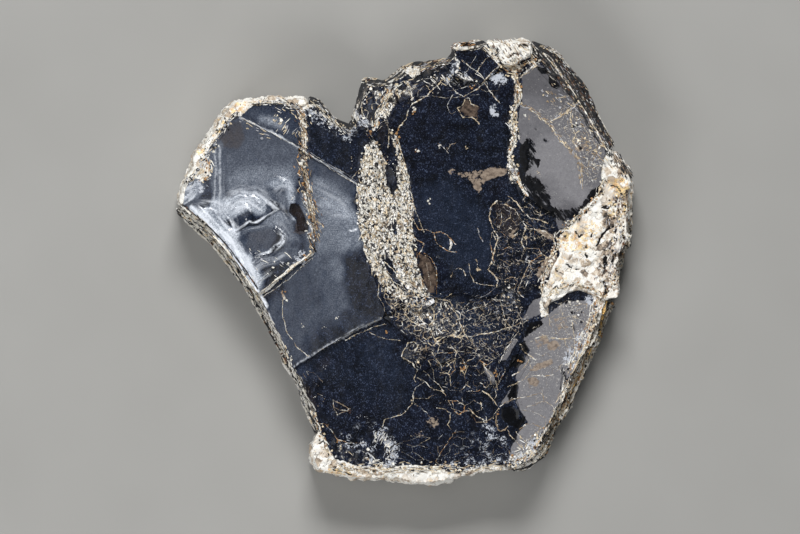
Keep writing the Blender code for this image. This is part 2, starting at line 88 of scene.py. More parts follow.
LEFT_CORNER = [(296, 381), (302, 395), (309, 411)]
# The folded corner, where the surface's points lie closer.
FOLD_AREA = [(176, 176), (300, 176), (300, 262), (262, 300), (232, 262), (176, 214)]

# Plates and losses too thin for the solids: outline and height in millimetres.
THIN_PLATES = {
    "dark_lens": ([(384, 156), (390, 160), (396, 172), (399, 186), (395, 196), (389, 192),
                   (384, 178), (382, 165)], -0.3),
    "block_facet": ([(355, 109), (366, 108), (371, 116), (368, 124), (358, 123), (353, 117)], 0.25),
    "brown_plate_west": ([(493, 205), (505, 204), (516, 212), (520, 224), (514, 233),
                          (500, 235), (494, 222)], 0.15),
    "brown_plate_south": ([(500, 238), (514, 236), (523, 246), (526, 258), (520, 275),
                           (506, 272), (496, 262)], 0.12),
    "dark_plate": ([(523, 232), (536, 230), (550, 236), (557, 246), (553, 255), (545, 260),
                    (533, 262), (525, 256)], -0.3),
    "loss_above_grey": ([(536, 67), (546, 70), (557, 79), (561, 86), (555, 88), (548, 82),
                         (540, 74)], -0.25),
    "sliver_a": (SLIVER_A, 0.15),
    "sliver_b": (SLIVER_B, 0.15),
    "sliver_c": (SLIVER_C, 0.12),
    "crest_plate": ([(404, 71), (410, 66), (420, 67), (419, 76), (411, 78)], 0.35),
    "crest_white": ([(450, 49), (456, 42), (474, 44), (474, 48), (462, 50)], 0.3),
}

# Ridges and steps, and grooves: line, half width and height in millimetres.
RIDGES = {
    "long_crack": (LONG_CRACK, 0.22, 0.3),
    "long_crack_east": (LONG_CRACK_EAST, 0.3, 0.16),
    "plate_lip": (PLATE_LIP, 0.4, 0.25),
    "plate_lip_upper": (PLATE_LIP_UPPER, 0.2, 0.2),
    "arc_fold": ([(275, 229), (283, 235), (284, 243), (277, 250), (268, 254), (256, 257)], 0.7,
                 0.4),
    "arc_fold_west": ([(229, 232), (235, 243), (242, 254), (250, 268), (258, 283)], 0.9, 0.35),
    "fracture_lip": ([(236, 231), (243, 226), (250, 222), (256, 223), (262, 221), (270, 214),
                      (277, 209)], 0.28, 0.4),
    "swirl_a": ([(228, 204), (238, 198), (250, 197), (262, 202), (270, 209)], 0.8, 0.2),
    "swirl_b": ([(243, 204), (250, 207), (253, 213), (247, 218)], 0.6, 0.2),
    "cloud_edge": ([(268, 186), (278, 180), (288, 182), (293, 190)], 1.2, 0.25),
}
GROOVES = {
    "fracture": ([(238, 232), (246, 226), (252, 225), (258, 224), (265, 220), (272, 214)], 0.3,
                 -0.45),
    "lens_slit": ([(563, 374), (562, 381), (561, 389)], 0.25, -0.4),
    "under_flake": ([(436, 258), (440, 268), (442, 280), (440, 292)], 0.5, -0.3),
}

# Painted sheen and shade on the mica, lightening its own dark tone, laid in this order: line,
# radius and softness in millimetres, and the tone there, from 0, black, to 1, white.
SHEEN_AND_SHADE_LINES = [
    # the left lobe's painted sheen, dark above and lighter downwards
    ([(240, 112), (262, 108), (300, 112)], 4.0, 4.0, 0.22),
    ([(250, 132), (275, 145), (295, 158)], 4.5, 3.0, 0.27),
    ([(222, 150), (250, 158), (285, 166)], 3.5, 3.0, 0.31),
    ([(225, 125), (235, 132), (232, 142)], 1.5, 2.5, 0.25),
    ([(264, 119), (272, 121), (280, 125)], 0.5, 1.5, 0.46),
    ([(212, 160), (216, 180), (218, 195)], 1.2, 2.0, 0.36),
    ([(236, 181), (252, 177), (270, 178), (285, 176)], 1.0, 3.0, 0.46),
    ([(236, 188), (262, 188)], 0.8, 1.6, 0.42),
    ([(276, 184), (283, 182), (290, 185), (291, 191), (288, 200)], 0.4, 1.6, 0.62),
    ([(270, 194), (280, 196), (284, 203)], 0.7, 1.2, 0.36),
    # painted silvery sheen on the folds
    ([(200, 212), (216, 210), (230, 208), (244, 203), (258, 205)], 1.8, 1.8, 0.64),
    ([(196, 210), (212, 222), (224, 236)], 1.2, 1.5, 0.74),
    ([(232, 236), (238, 250), (246, 264), (254, 282)], 1.4, 1.6, 0.76),
    ([(213, 214), (220, 219)], 0.5, 1.0, 0.62),
    ([(204, 183), (209, 194), (206, 203), (200, 206)], 0.6, 0.9, 0.16),
    ([(182, 198), (190, 194), (196, 188)], 1.2, 1.4, 0.50),
    ([(190, 204), (198, 202)], 0.5, 0.8, 0.26),
    # painted shade in pockets of the folds
    ([(237, 224), (242, 219), (250, 216)], 0.7, 1.0, 0.16),
    ([(248, 232), (260, 230), (272, 226)], 1.0, 1.4, 0.34),
    ([(246, 240), (258, 239), (268, 236), (262, 246), (250, 246)], 1.2, 1.4, 0.30),
    ([(270, 220), (280, 218), (286, 224)], 0.9, 1.4, 0.48),
    ([(291, 197), (292, 208), (295, 218)], 0.3, 1.0, 0.66),
    ([(287, 228), (294, 240), (291, 250)], 0.9, 1.5, 0.38),
    ([(258, 262), (276, 259), (290, 254)], 0.7, 1.4, 0.30),
    ([(286, 244), (296, 244)], 0.5, 0.9, 0.26),
    # the plate east of the beaded string, and its dark neighbour by the notch
    ([(322, 118), (328, 145), (342, 170)], 4.0, 2.5, 0.12),
    ([(314, 168), (330, 180), (348, 192)], 1.2, 2.0, 0.26),
    ([(316, 182), (332, 193), (346, 203)], 0.6, 1.6, 0.46),
    ([(322, 205), (330, 235), (332, 258)], 4.2, 3.5, 0.44),
    ([(340, 208), (350, 226), (353, 244)], 1.5, 3.0, 0.48),
    ([(326, 202), (340, 210), (352, 216)], 0.4, 1.6, 0.58),
    ([(330, 276), (330, 300), (322, 330)], 4.0, 4.0, 0.32),
    ([(300, 282), (306, 300), (300, 312)], 2.5, 3.0, 0.25),
    ([(282, 310), (288, 345), (304, 360)], 2.6, 3.0, 0.27),
    ([(312, 320), (318, 345), (332, 340)], 2.2, 3.0, 0.29),
    ([(358, 268), (366, 292), (374, 316)], 2.6, 3.4, 0.10),
    ([(348, 318), (366, 322)], 1.2, 1.8, 0.16),
    ([(335, 262), (340, 268), (338, 276)], 0.3, 1.8, 0.42),
    # the lower, darker plates
    ([(296, 372), (312, 362), (322, 368)], 1.6, 2.0, 0.20),
    ([(420, 300), (450, 320), (480, 330)], 3.0, 3.0, 0.16),
    ([(336, 352), (362, 366), (392, 384)], 4.5, 5.0, 0.13),
    ([(392, 374), (372, 350), (384, 340)], 1.5, 3.0, 0.16),
    ([(440, 206), (462, 226), (470, 250)], 4.0, 5.0, 0.165),
]
# Painted silky highlights on the folds: line it follows, half width and streak spacing in
# millimetres, strength.
HIGHLIGHT_FLOWS = [
    ([(195, 206), (210, 222), (226, 240), (242, 262), (257, 290)], 2.5, 0.8, 1.15),
    ([(230, 242), (240, 258), (249, 275), (258, 292)], 1.4, 0.9, 1.25),
    ([(197, 207), (212, 205), (224, 210), (232, 222), (236, 236)], 1.8, 0.7, 0.85),
    ([(208, 208), (219, 222), (230, 236), (242, 252)], 1.6, 0.5, 0.8),
    ([(221, 214), (228, 200), (240, 193), (256, 196), (270, 203), (278, 209)], 1.5, 0.45, 0.62),
    ([(229, 212), (236, 203), (247, 200), (258, 206), (265, 213)], 1.2, 0.4, 0.66),
    ([(233, 214), (240, 208), (248, 207), (255, 214)], 0.9, 0.35, 0.62),
    ([(226, 196), (240, 189), (258, 191), (272, 198)], 1.3, 0.6, 0.30),
    ([(226, 200), (233, 208), (243, 214)], 1.0, 0.4, 0.85),
    ([(277, 229), (284, 235), (282, 244), (270, 252), (256, 259), (244, 268)], 0.9, 0.45, 1.0),
    ([(274, 192), (282, 185), (290, 187), (294, 198)], 1.5, 0.6, 0.34),
    ([(276, 204), (284, 212), (290, 222)], 1.6, 0.6, 0.32),
    ([(272, 222), (282, 227), (289, 237), (285, 248)], 1.4, 0.5, 0.22),
    ([(240, 232), (252, 228), (266, 224)], 0.9, 0.5, 0.3),
    ([(250, 270), (262, 262), (276, 258), (290, 252)], 1.8, 0.6, 0.32),
    ([(256, 284), (264, 276), (272, 270)], 1.0, 0.5, 0.4),
    ([(180, 204), (188, 198), (196, 188)], 1.6, 0.5, 0.75),
    ([(183, 192), (190, 185), (198, 183)], 1.1, 0.4, 0.6),
    ([(219, 142), (219, 180), (220, 214)], 1.6, 0.45, 0.22),
    ([(229, 150), (229, 172)], 0.5, 0.3, 0.16),
    ([(262, 117), (272, 121), (284, 126)], 1.2, 0.6, 0.26),
    ([(316, 184), (332, 194), (348, 204)], 1.4, 0.9, 0.25),
    ([(314, 205), (332, 210), (352, 216)], 1.6, 1.0, 0.22),
    ([(334, 192), (346, 208), (356, 228)], 1.4, 0.8, 0.2),
]
# The hollow beside the beaded string, that no painted highlight reaches: outline, softness, share.
HOLLOW_AREAS = [(HOLLOW, 0.5, 1.0)]
# Painted highlights, thin bright lines on the folds and edges: line, radius, softness and strength.
HIGHLIGHT_LINES = [
    ([(238, 116), (252, 123), (270, 132), (285, 140), (300, 149)], 0.02, 0.22, 0.85),
    (LONG_CRACK_EAST, 0.02, 0.22, 0.5),
    (LOWER_STEP, 0.02, 0.22, 0.55),
    ([(230, 229), (236, 231), (243, 226), (250, 221), (253, 223), (259, 222), (266, 217),
      (272, 212), (278, 209)], 0.10, 0.22, 0.95),
    ([(266, 200), (270, 203), (277, 209)], 0.10, 0.3, 0.8),
    ([(191, 207), (200, 215), (210, 226), (219, 238), (226, 250)], 0.12, 0.45, 0.85),
    ([(215, 143), (215.4, 206)], 0.05, 0.2, 0.42),
    ([(220, 146), (220.4, 212)], 0.05, 0.22, 0.45),
    ([(255, 286), (261, 296), (266, 306)], 0.25, 0.4, 0.98),
    ([(267, 314), (271, 324), (275, 336)], 0.25, 0.35, 0.95),
    ([(276, 338), (281, 346)], 0.15, 0.3, 0.8),
    (LEFT_CORNER, 0.12, 0.25, 0.95),
    ([(350, 231), (354, 230), (359, 226)], 0.08, 0.2, 0.95),
]
# Patches of one tone on the mica, painted over the sheen and shade lines, the first a painted
# shade in the hollow: outline, softness and tone.
SHEEN_AND_SHADE_AREAS = [
    ([(290, 204), (297, 204), (303, 214), (309, 227), (305, 232), (296, 231), (296, 220),
      (290, 212)], 0.3, 0.10),
    ([(266, 203), (270, 206), (271, 213), (266, 212)], 0.2, 0.30),
    ([(236, 218), (246, 213), (252, 216), (250, 221), (243, 226), (236, 228), (234, 223)], 0.5,
     0.20),
]
# White and cream crust that lies on the mica: outlines with a softness, and lines with a
# radius and softness, each with a strength.
CHALK_AREAS = [
    ([(213, 128), (222, 114), (234, 103), (250, 98), (254, 104), (248, 110), (241, 116),
      (232, 116), (226, 120), (220, 130), (215, 140), (208, 151), (202, 160), (198, 160),
      (205, 146)], 0.5, 1.0),
    ([(197, 168), (207, 160), (210, 168), (208, 178), (200, 181), (194, 179)], 0.7, 0.75),
    ([(284, 97), (300, 100), (313, 101), (314, 106), (304, 111), (292, 106)], 0.5, 0.95),
    ([(361, 77), (372, 77), (384, 78), (380, 83), (368, 86), (360, 87)], 0.3, 1.0),
    ([(352, 100), (358, 100), (357, 112), (360, 121), (355, 122), (351, 112)], 0.3, 0.85),
    ([(380, 97), (386, 86), (393, 82), (396, 88), (390, 98), (384, 108), (380, 108)], 0.6, 0.5),
    ([(378, 112), (382, 110), (378, 122), (375, 132), (371, 131), (374, 120)], 0.5, 0.6),
    ([(397, 68), (404, 63), (409, 67), (420, 66), (419, 74), (413, 78), (408, 74), (400, 72)],
     0.25, 1.0),
    ([(448, 50), (452, 43), (459, 43), (475, 46), (474, 50), (462, 51)], 0.25, 1.0),
    ([(486, 44), (494, 52), (500, 60), (497, 64), (489, 56), (483, 48)], 0.4, 0.7),
    ([(498, 58), (512, 64), (524, 68), (516, 73), (504, 68)], 0.4, 0.8),
    ([(306, 410), (312, 412), (316, 420), (311, 424), (306, 418)], 0.3, 1.0),
    ([(546, 424), (556, 424), (552, 436), (545, 448), (540, 446)], 0.4, 0.9),
    ([(511, 168), (518, 168), (519, 178), (513, 178)], 0.4, 0.8),
    ([(591, 290), (603, 292), (601, 306), (595, 304)], 0.4, 0.9),
    ([(543, 292), (549, 298), (549, 314), (541, 318), (540, 304)], 0.3, 0.9),
]
CHALK_LINES = [
    ([(515, 74), (519, 86), (519, 100), (515, 112), (514, 124), (516, 134), (512, 146),
      (511, 158), (514, 168)], 0.1, 0.55, 0.5),
    ([(518, 178), (522, 188), (527, 196)], 0.2, 0.5, 0.75),
    ([(602, 296), (598, 314), (592, 332), (585, 350), (576, 372), (566, 394), (556, 414)],
     0.35, 0.6, 0.75),
    ([(257, 295), (269, 287), (284, 274), (299, 263), (312, 253)], 0.25, 0.3, 0.9),
    ([(250, 101), (266, 99), (284, 99)], 0.2, 0.5, 0.9),
    ([(338, 462), (356, 468), (380, 470), (410, 468), (440, 469)], 0.3, 0.8, 0.75),
    ([(318, 426), (322, 440), (330, 454)], 0.2, 0.5, 0.7),
    ([(541, 60), (530, 69), (521, 77)], 0.1, 0.4, 0.6),
    ([(186, 212), (204, 230), (222, 254), (236, 278), (250, 300)], 0.1, 0.5, 0.55),
    ([(296, 376), (302, 392), (308, 408)], 0.1, 0.35, 0.8),
    ([(453, 56), (458, 62), (455, 72), (462, 78), (472, 80)], 0.2, 0.6, 0.62),
]
# Streaky broken layers seen from above: outline, softness, strength.
BAND_AREAS = [
    ([(528, 50), (545, 40), (564, 50), (588, 78), (606, 110), (622, 140), (642, 172),
      (644, 190), (622, 172), (606, 150), (598, 128), (586, 108), (571, 90), (557, 76),
      (543, 64)], 0.5, 1.0),
    ([(416, 60), (432, 55), (448, 56), (444, 66), (432, 74), (420, 74)], 0.5, 0.8),
    ([(606, 290), (614, 296), (600, 330), (585, 362), (566, 400), (552, 432), (548, 426),
      (562, 396), (578, 360), (592, 330)], 0.5, 0.8),
    ([(176, 200), (196, 216), (216, 238), (236, 264), (252, 292), (268, 322), (264, 326),
      (240, 296), (222, 268), (202, 244), (180, 224)], 0.4, 0.8),
]
# Pale frost of broken sheets: line, radius, softness and how much of it.
FROST_LINES = [
    ([(391, 454), (391, 447), (387, 440), (384, 434)], 0.5, 0.9, 1.1),
    ([(371, 460), (373, 452), (376, 444), (384, 437), (392, 438), (398, 446), (396, 456)], 0.1, 0.8,
     0.8),
    ([(376, 432), (384, 430)], 0.4, 0.9, 0.7),
    ([(366, 464), (380, 466), (394, 463)], 0.3, 1.0, 0.7),
    ([(358, 428), (372, 424), (382, 430)], 0.6, 1.4, 0.22),
    ([(345, 440), (356, 446), (366, 444)], 0.8, 1.8, 0.36),
    ([(450, 462), (470, 457), (490, 459), (505, 454)], 1.6, 2.6, 0.26),
    ([(455, 466), (480, 464), (505, 462)], 0.8, 2.0, 0.45),
    ([(476, 440), (486, 448)], 1.0, 2.0, 0.25),
    ([(491, 78), (499, 75), (505, 82), (496, 82)], 0.5, 0.8, 1.0),
    ([(492, 107), (495, 114)], 0.5, 0.7, 1.0),
    ([(455, 66), (452, 76), (446, 80)], 0.5, 0.9, 0.8),
    ([(462, 72), (466, 82), (474, 84)], 0.3, 0.7, 0.8),
    ([(310, 110), (330, 120), (348, 132)], 1.2, 1.8, 0.6),
    ([(352, 113), (358, 121), (366, 122)], 0.6, 0.9, 0.9),
    ([(206, 150), (200, 162), (195, 176)], 0.9, 1.0, 0.9),
    ([(186, 186), (194, 182), (202, 186)], 0.9, 1.4, 0.75),
    ([(302, 255), (296, 260), (304, 262)], 0.5, 1.0, 0.9),
    ([(486, 430), (500, 440)], 0.8, 1.6, 0.5),
    ([(540, 440), (530, 455), (520, 463)], 1.2, 1.6, 0.85),
    ([(583, 335), (575, 350), (570, 362)], 1.0, 1.5, 0.6),
    ([(522, 284), (512, 300), (500, 312)], 0.8, 2.0, 0.22),
    ([(590, 300), (598, 296), (596, 308)], 0.7, 0.9, 1.0),
]
# Areas and how strongly they hold: outline, softness in millimetres, strength.
PLATE_SHEEN_AREAS = [  # painted grey sheen over the tilted plates
    ([(522, 76), (531, 67), (540, 64), (556, 78), (572, 92), (588, 112), (602, 136), (607, 160),
      (600, 184), (592, 198), (578, 210), (566, 218), (552, 213), (543, 206), (534, 198),
      (526, 188),
      (526, 168), (530, 156), (524, 148), (519, 140), (518, 126), (520, 108), (523, 92)], 0.5, 1.0),
    ([(548, 315), (565, 302), (590, 300), (600, 316), (596, 340), (588, 360), (578, 384),
      (566, 404), (556, 424), (548, 440), (536, 456), (520, 462), (508, 462), (512, 446),
      (520, 432), (528, 424), (522, 412), (516, 402), (520, 388), (516, 376), (522, 362),
      (530, 350), (524, 340), (532, 326)], 0.6, 1.0),
    (SLIVER_A, 0.3, 0.8),
    (SLIVER_B, 0.3, 0.9),
    (SLIVER_C, 0.3, 0.8),
    ([(556, 212), (566, 214), (572, 222), (560, 232), (555, 222)], 0.6, 0.7),
    ([(533, 300), (545, 296), (545, 312), (530, 318), (520, 322)], 0.6, 0.6),
]
# How light the painted sheen on the plates is: line, radius and softness in millimetres, and tone.
PLATE_SHEEN_LEVEL_LINES = [
    ([(530, 78), (550, 90), (566, 104)], 3.0, 4.0, 0.28),
    ([(530, 120), (560, 140)], 4.0, 4.0, 0.42),
    ([(555, 160), (566, 190)], 4.0, 4.0, 0.54),
    ([(544, 190), (556, 210), (566, 214)], 2.0, 3.0, 0.46),
    ([(590, 130), (596, 176)], 2.0, 3.0, 0.40),
    ([(530, 320), (520, 345), (508, 360)], 3.0, 3.0, 0.40),
    ([(570, 310), (560, 350), (545, 400)], 5.0, 4.0, 0.50),
    ([(536, 430), (520, 452)], 4.0, 4.0, 0.52),
    ([(564, 222), (568, 216)], 2.0, 2.0, 0.36),
]
BLOT_AREAS = [  # black gaps in that painted sheen
    ([(526, 138), (530, 146), (527, 154), (528, 166), (525, 172), (519, 162), (519, 148),
      (523, 144)], 0.25, 1.0),
    ([(535, 158), (541, 160), (539, 168), (534, 164)], 0.2, 1.0),
    ([(522, 174), (536, 176), (546, 184), (552, 198), (550, 210), (540, 210), (528, 198)], 2.0,
     0.72),
    ([(534, 198), (552, 204), (566, 210), (584, 204), (582, 216), (562, 222), (544, 214)], 1.6,
     0.66),
    ([(524, 136), (534, 142), (537, 156), (533, 168), (524, 174)], 1.2, 0.6),
    ([(549, 75), (556, 80), (562, 87), (556, 90), (549, 84)], 0.25, 1.0),
    ([(538, 66), (548, 69), (551, 73), (543, 74), (538, 70)], 0.25, 1.0),
    ([(502, 407), (512, 405), (517, 412), (518, 420), (525, 416), (525, 423), (518, 429),
      (508, 426), (501, 418)], 0.15, 1.0),
    ([(512, 385), (518, 384), (518, 396), (510, 401), (507, 396)], 0.2, 1.0),
    ([(512, 356), (522, 355), (525, 362), (517, 369), (510, 366)], 0.2, 1.0),
    ([(519, 344), (526, 342), (529, 349), (522, 353)], 0.2, 1.0),
    ([(530, 322), (540, 320), (543, 325), (530, 334), (526, 338), (524, 332)], 0.2, 0.9),
    ([(590, 190), (600, 186), (600, 200), (588, 206), (578, 212)], 0.3, 0.8),
]
TAN_AREAS = [  # pale brown skins
    ([(456, 171), (468, 171), (484, 169), (500, 165), (510, 167), (508, 174), (497, 178),
      (486, 182), (482, 190), (479, 196), (474, 189), (468, 180), (458, 176)], 1.1, 0.62),
    ([(444, 166), (458, 168), (462, 174), (450, 175)], 1.2, 0.4),
    ([(484, 171), (500, 167), (509, 169), (506, 175), (494, 179), (484, 181)], 0.5, 0.85),
    ([(547, 342), (558, 341), (561, 346), (555, 351), (548, 349)], 0.25, 0.9),
    ([(529, 370), (536, 364), (551, 359), (554, 364), (545, 368), (534, 371)], 0.2, 1.0),
    ([(527, 378), (533, 376), (540, 380), (537, 386), (530, 386)], 0.2, 1.0),
    ([(552, 318), (566, 316), (570, 328), (556, 332)], 0.8, 0.5),
    ([(566, 346), (578, 340), (580, 352), (568, 358)], 0.8, 0.45),
    ([(534, 340), (546, 334), (550, 342), (538, 350)], 0.6, 0.5),
    ([(525, 114), (536, 113), (535, 128), (524, 128)], 0.7, 0.35),
    ([(569, 139), (580, 143), (592, 142), (590, 150), (578, 152)], 0.4, 0.5),
    ([(565, 148), (575, 152), (580, 160), (572, 158)], 0.3, 0.6),
    ([(424, 420), (434, 414), (441, 421), (436, 431), (426, 430)], 1.2, 0.48),
    ([(414, 432), (428, 428), (424, 437), (416, 439)], 0.5, 0.35),
    ([(281, 290), (284, 291), (286, 299), (283, 300)], 0.15, 1.0),
    ([(512, 70), (518, 74), (520, 88), (517, 98), (513, 96), (514, 84)], 0.25, 0.8),
    ([(484, 384), (488, 386), (486, 390)], 0.2, 0.8),
    ([(506, 232), (520, 226), (519, 236), (508, 240)], 0.3, 0.55),
    ([(540, 262), (556, 254), (560, 262), (552, 272), (544, 282), (536, 276)], 0.5, 0.75),
    ([(534, 228), (546, 230), (556, 238), (552, 240), (540, 234)], 0.2, 0.9),
]
BROWN_AREAS = [  # clear brown sheets that the light comes through
    ([(465, 98), (469, 98), (471, 104), (478, 107), (475, 112), (478, 120), (472, 117),
      (463, 117), (458, 109), (462, 105)], 0.2, 1.0),
    ([(419, 253), (426, 256), (433, 266), (436, 280), (435, 293), (427, 292), (422, 275),
      (417, 262)], 0.25, 0.95),
    ([(492, 203), (512, 203), (522, 214), (520, 230), (505, 240), (496, 228)], 0.8, 0.55),
    ([(500, 238), (516, 236), (524, 248), (524, 264), (514, 276), (500, 270)], 0.8, 0.35),
    ([(383, 84), (396, 88), (402, 98), (396, 106), (386, 104)], 0.8, 0.55),
    ([(376, 128), (386, 122), (386, 146), (376, 142)], 0.6, 0.45),
    ([(222, 120), (240, 121), (246, 140), (238, 150), (224, 150), (220, 136)], 1.2, 0.62),
    ([(243, 232), (262, 228), (276, 226), (280, 238), (272, 248), (256, 252), (246, 246)], 1.2,
     0.45),
    ([(312, 364), (326, 352), (330, 362), (318, 372)], 0.6, 0.4),
    ([(300, 380), (312, 386), (318, 404), (310, 412), (302, 398)], 0.8, 0.5),
    ([(421, 60), (436, 58), (447, 62), (440, 70), (426, 72)], 0.4, 0.7),
    ([(499, 116), (508, 110), (512, 120), (504, 126)], 0.6, 0.4),
    (HOLLOW, 0.3, 0.66),
    ([(330, 362), (300, 366), (300, 400), (312, 412), (318, 392)], 1.6, 0.3),
    ([(296, 290), (306, 288), (312, 300), (300, 306)], 1.2, 0.35),
    ([(484, 182), (500, 178), (512, 182), (505, 194), (488, 196)], 1.0, 0.35),
    ([(405, 316), (424, 310), (428, 326), (410, 334)], 1.2, 0.3),
    ([(518, 172), (521, 174), (521, 183), (517, 181)], 0.15, 1.0),
]
RUST_AREAS = [  # yellow and orange stains on the feldspar
    ([(228, 100), (246, 98), (248, 112), (232, 116)], 1.0, 1.0),
    ([(208, 118), (222, 112), (226, 128), (212, 138)], 1.0, 1.0),
    ([(192, 142), (202, 138), (204, 154), (194, 158)], 0.8, 1.0),
    ([(556, 236), (572, 224), (590, 218), (600, 226), (596, 242), (578, 254), (560, 254)], 1.0,
     0.8),
    ([(604, 196), (618, 190), (630, 206), (622, 222), (606, 218)], 1.0, 0.7),
    ([(540, 282), (556, 270), (566, 280), (552, 296)], 1.0, 0.6),
    ([(543, 284), (552, 272), (562, 254), (566, 258), (556, 276), (548, 290)], 0.6, 1.0),
    ([(606, 180), (620, 178), (628, 190), (616, 196), (606, 192)], 0.8, 1.0),
    ([(313, 466), (340, 468), (362, 478), (350, 486), (318, 478)], 1.0, 1.0),
    ([(424, 476), (446, 474), (448, 486), (428, 488)], 0.8, 0.7),
]
EARTH_AREAS = [  # brown and grey, pebbly feldspar
    ([(606, 226), (614, 208), (622, 190), (640, 186), (640, 260), (622, 300), (600, 306),
      (599, 283), (596, 262), (600, 245)], 1.0, 0.85),
    ([(593, 203), (602, 205), (601, 218), (594, 222)], 0.6, 0.55),
    ([(602, 212), (612, 213), (611, 226), (602, 226)], 0.6, 0.75),
    ([(566, 252), (582, 254), (580, 262), (568, 264)], 0.6, 0.55),
    ([(564, 264), (576, 268), (572, 280), (560, 276)], 0.8, 0.55),
    ([(576, 268), (592, 266), (594, 286), (580, 286)], 0.8, 0.75),
    ([(593, 244), (602, 246), (600, 258), (592, 256)], 0.6, 0.65),
    ([(308, 462), (340, 470), (380, 478), (420, 480), (420, 492), (340, 490), (306, 478)], 1.0,
     0.45),
    ([(312, 446), (330, 446), (330, 462), (314, 462)], 0.8, 0.6),
    ([(460, 470), (520, 466), (520, 484), (460, 486)], 1.0, 0.7),
    ([(508, 40), (520, 44), (516, 54), (506, 52)], 0.6, 0.5),
]
PIT_LINES = [  # dark pits and cracks in the feldspar: line, radius, softness, strength
    ([(592, 246), (596, 240), (602, 234), (607, 229), (613, 227)], 0.05, 0.45, 1.0),
    ([(604, 259), (606, 265)], 0.3, 0.5, 1.0),
    ([(601, 208), (607, 208)], 0.1, 0.5, 1.0),
    ([(583, 253), (586, 257)], 0.1, 0.4, 1.0),
    ([(567, 263), (571, 268), (579, 269)], 0.02, 0.35, 0.9),
    ([(574, 231), (577, 236), (582, 233)], 0.02, 0.5, 0.8),
    ([(608, 187), (614, 190), (619, 196)], 0.02, 0.45, 0.9),
    ([(600, 282), (602, 292), (598, 300)], 0.1, 0.7, 0.9),
    ([(612, 262), (616, 252)], 0.1, 0.5, 0.8),
    ([(619, 236), (624, 246), (621, 258)], 0.05, 0.6, 0.8),
    ([(616, 206), (623, 206), (624, 213), (617, 214), (616, 206)], 0.02, 0.35, 0.8),
    ([(556, 268), (560, 274)], 0.05, 0.4, 0.7),
    ([(588, 236), (592, 232)], 0.05, 0.4, 0.7),
    ([(581, 245), (583, 248)], 0.05, 0.4, 0.9),
    ([(318, 444), (326, 440), (329, 447)], 0.02, 0.4, 0.8),
    ([(334, 470), (352, 476)], 0.02, 0.5, 0.8),
    ([(196, 148), (204, 145)], 0.05, 0.5, 0.8),
    ([(508, 58), (514, 53), (519, 55)], 0.1, 0.4, 0.8),
    ([(494, 47), (499, 54)], 0.1, 0.4, 0.8),
    ([(519, 46), (526, 45), (530, 51)], 0.1, 0.5, 0.7),
    ([(529, 58), (536, 60)], 0.3, 0.6, 0.9),
]
CLEAN_AREAS = [  # whiter feldspar, free of dark grains
    ([(384, 468), (420, 468), (460, 470), (456, 490), (420, 492), (390, 488)], 1.0, 1.0),
    ([(474, 466), (508, 464), (506, 474), (474, 478)], 0.8, 0.8),
    ([(314, 420), (324, 426), (330, 444), (318, 448), (310, 436)], 0.6, 0.8),
    ([(596, 178), (606, 176), (610, 200), (600, 204), (590, 214)], 0.8, 1.0),
    ([(578, 208), (592, 206), (592, 222), (576, 232)], 1.0, 0.8),
    ([(560, 250), (570, 252), (556, 282), (546, 284)], 0.8, 0.8),
    ([(556, 284), (590, 286), (598, 292), (560, 296), (550, 300)], 0.8, 0.8),
    ([(196, 120), (214, 108), (240, 98), (236, 106), (214, 122), (200, 142), (190, 158)], 0.8, 0.9),
]
CRUMB_AREAS = [  # the crumbled band and other crushed places: outline, softness, strength
    ([(366, 144), (376, 143), (380, 152), (384, 160), (383, 172), (386, 186), (392, 196),
      (398, 190), (398, 176), (396, 160), (399, 150), (404, 165), (408, 185), (411, 205),
      (412, 225), (414, 244), (415, 254), (400, 254), (388, 240), (384, 250), (384, 260),
      (370, 256), (361, 236), (357, 212), (358, 188), (361, 165)], 1.7, 1.0),
    ([(362, 246), (380, 246), (385, 262), (391, 278), (393, 292), (384, 292), (376, 276),
      (368, 260)], 1.3, 0.85),
    ([(386, 242), (400, 248), (414, 250), (418, 266), (422, 280), (429, 296), (420, 297),
      (408, 289), (398, 277), (390, 262)], 1.3, 0.95),
    ([(390, 280), (400, 286), (414, 298), (404, 302), (390, 296)], 1.2, 0.5),
    ([(386, 128), (392, 128), (398, 138), (401, 150), (396, 156), (392, 142)], 0.8, 0.5),
    ([(395, 85), (402, 92), (395, 106), (386, 118), (378, 128), (372, 126), (378, 112),
      (384, 98)], 0.8, 0.45),
    ([(356, 90), (372, 86), (384, 92), (378, 102), (362, 104), (358, 98)], 1.2, 0.36),
    ([(396, 80), (410, 80), (420, 86), (412, 96), (402, 98)], 1.0, 0.35),
    ([(298, 106), (306, 110), (308, 130), (306, 150), (309, 172), (311, 190), (316, 210),
      (317, 232), (312, 252), (307, 240), (305, 215), (301, 190), (299, 165), (299, 135)], 1.2,
      0.42),
    ([(400, 300), (424, 298), (442, 300), (458, 316), (462, 332), (446, 340), (420, 334),
      (402, 318)], 2.0, 0.30),
    ([(404, 352), (416, 342), (428, 346), (422, 360), (408, 364)], 1.6, 0.26),
    ([(513, 72), (519, 90), (516, 112), (513, 128), (517, 142), (511, 156), (514, 168),
      (519, 186), (526, 196), (520, 198), (512, 186), (508, 168), (507, 152), (511, 138),
      (508, 122), (512, 104), (516, 88), (510, 76)], 0.8, 0.5),
    ([(575, 110), (600, 136), (604, 170), (594, 186), (584, 176), (578, 150), (570, 128)], 2.0,
     0.3),
    ([(560, 300), (590, 298), (600, 312), (590, 330), (566, 328), (556, 310)], 1.6, 0.28),
    ([(520, 438), (545, 430), (552, 436), (540, 454), (520, 464), (504, 464)], 1.6, 0.36),
    ([(330, 440), (360, 446), (372, 460), (356, 466), (336, 458)], 1.2, 0.3),
    ([(500, 280), (520, 276), (530, 290), (512, 312), (500, 300)], 1.4, 0.3),
]
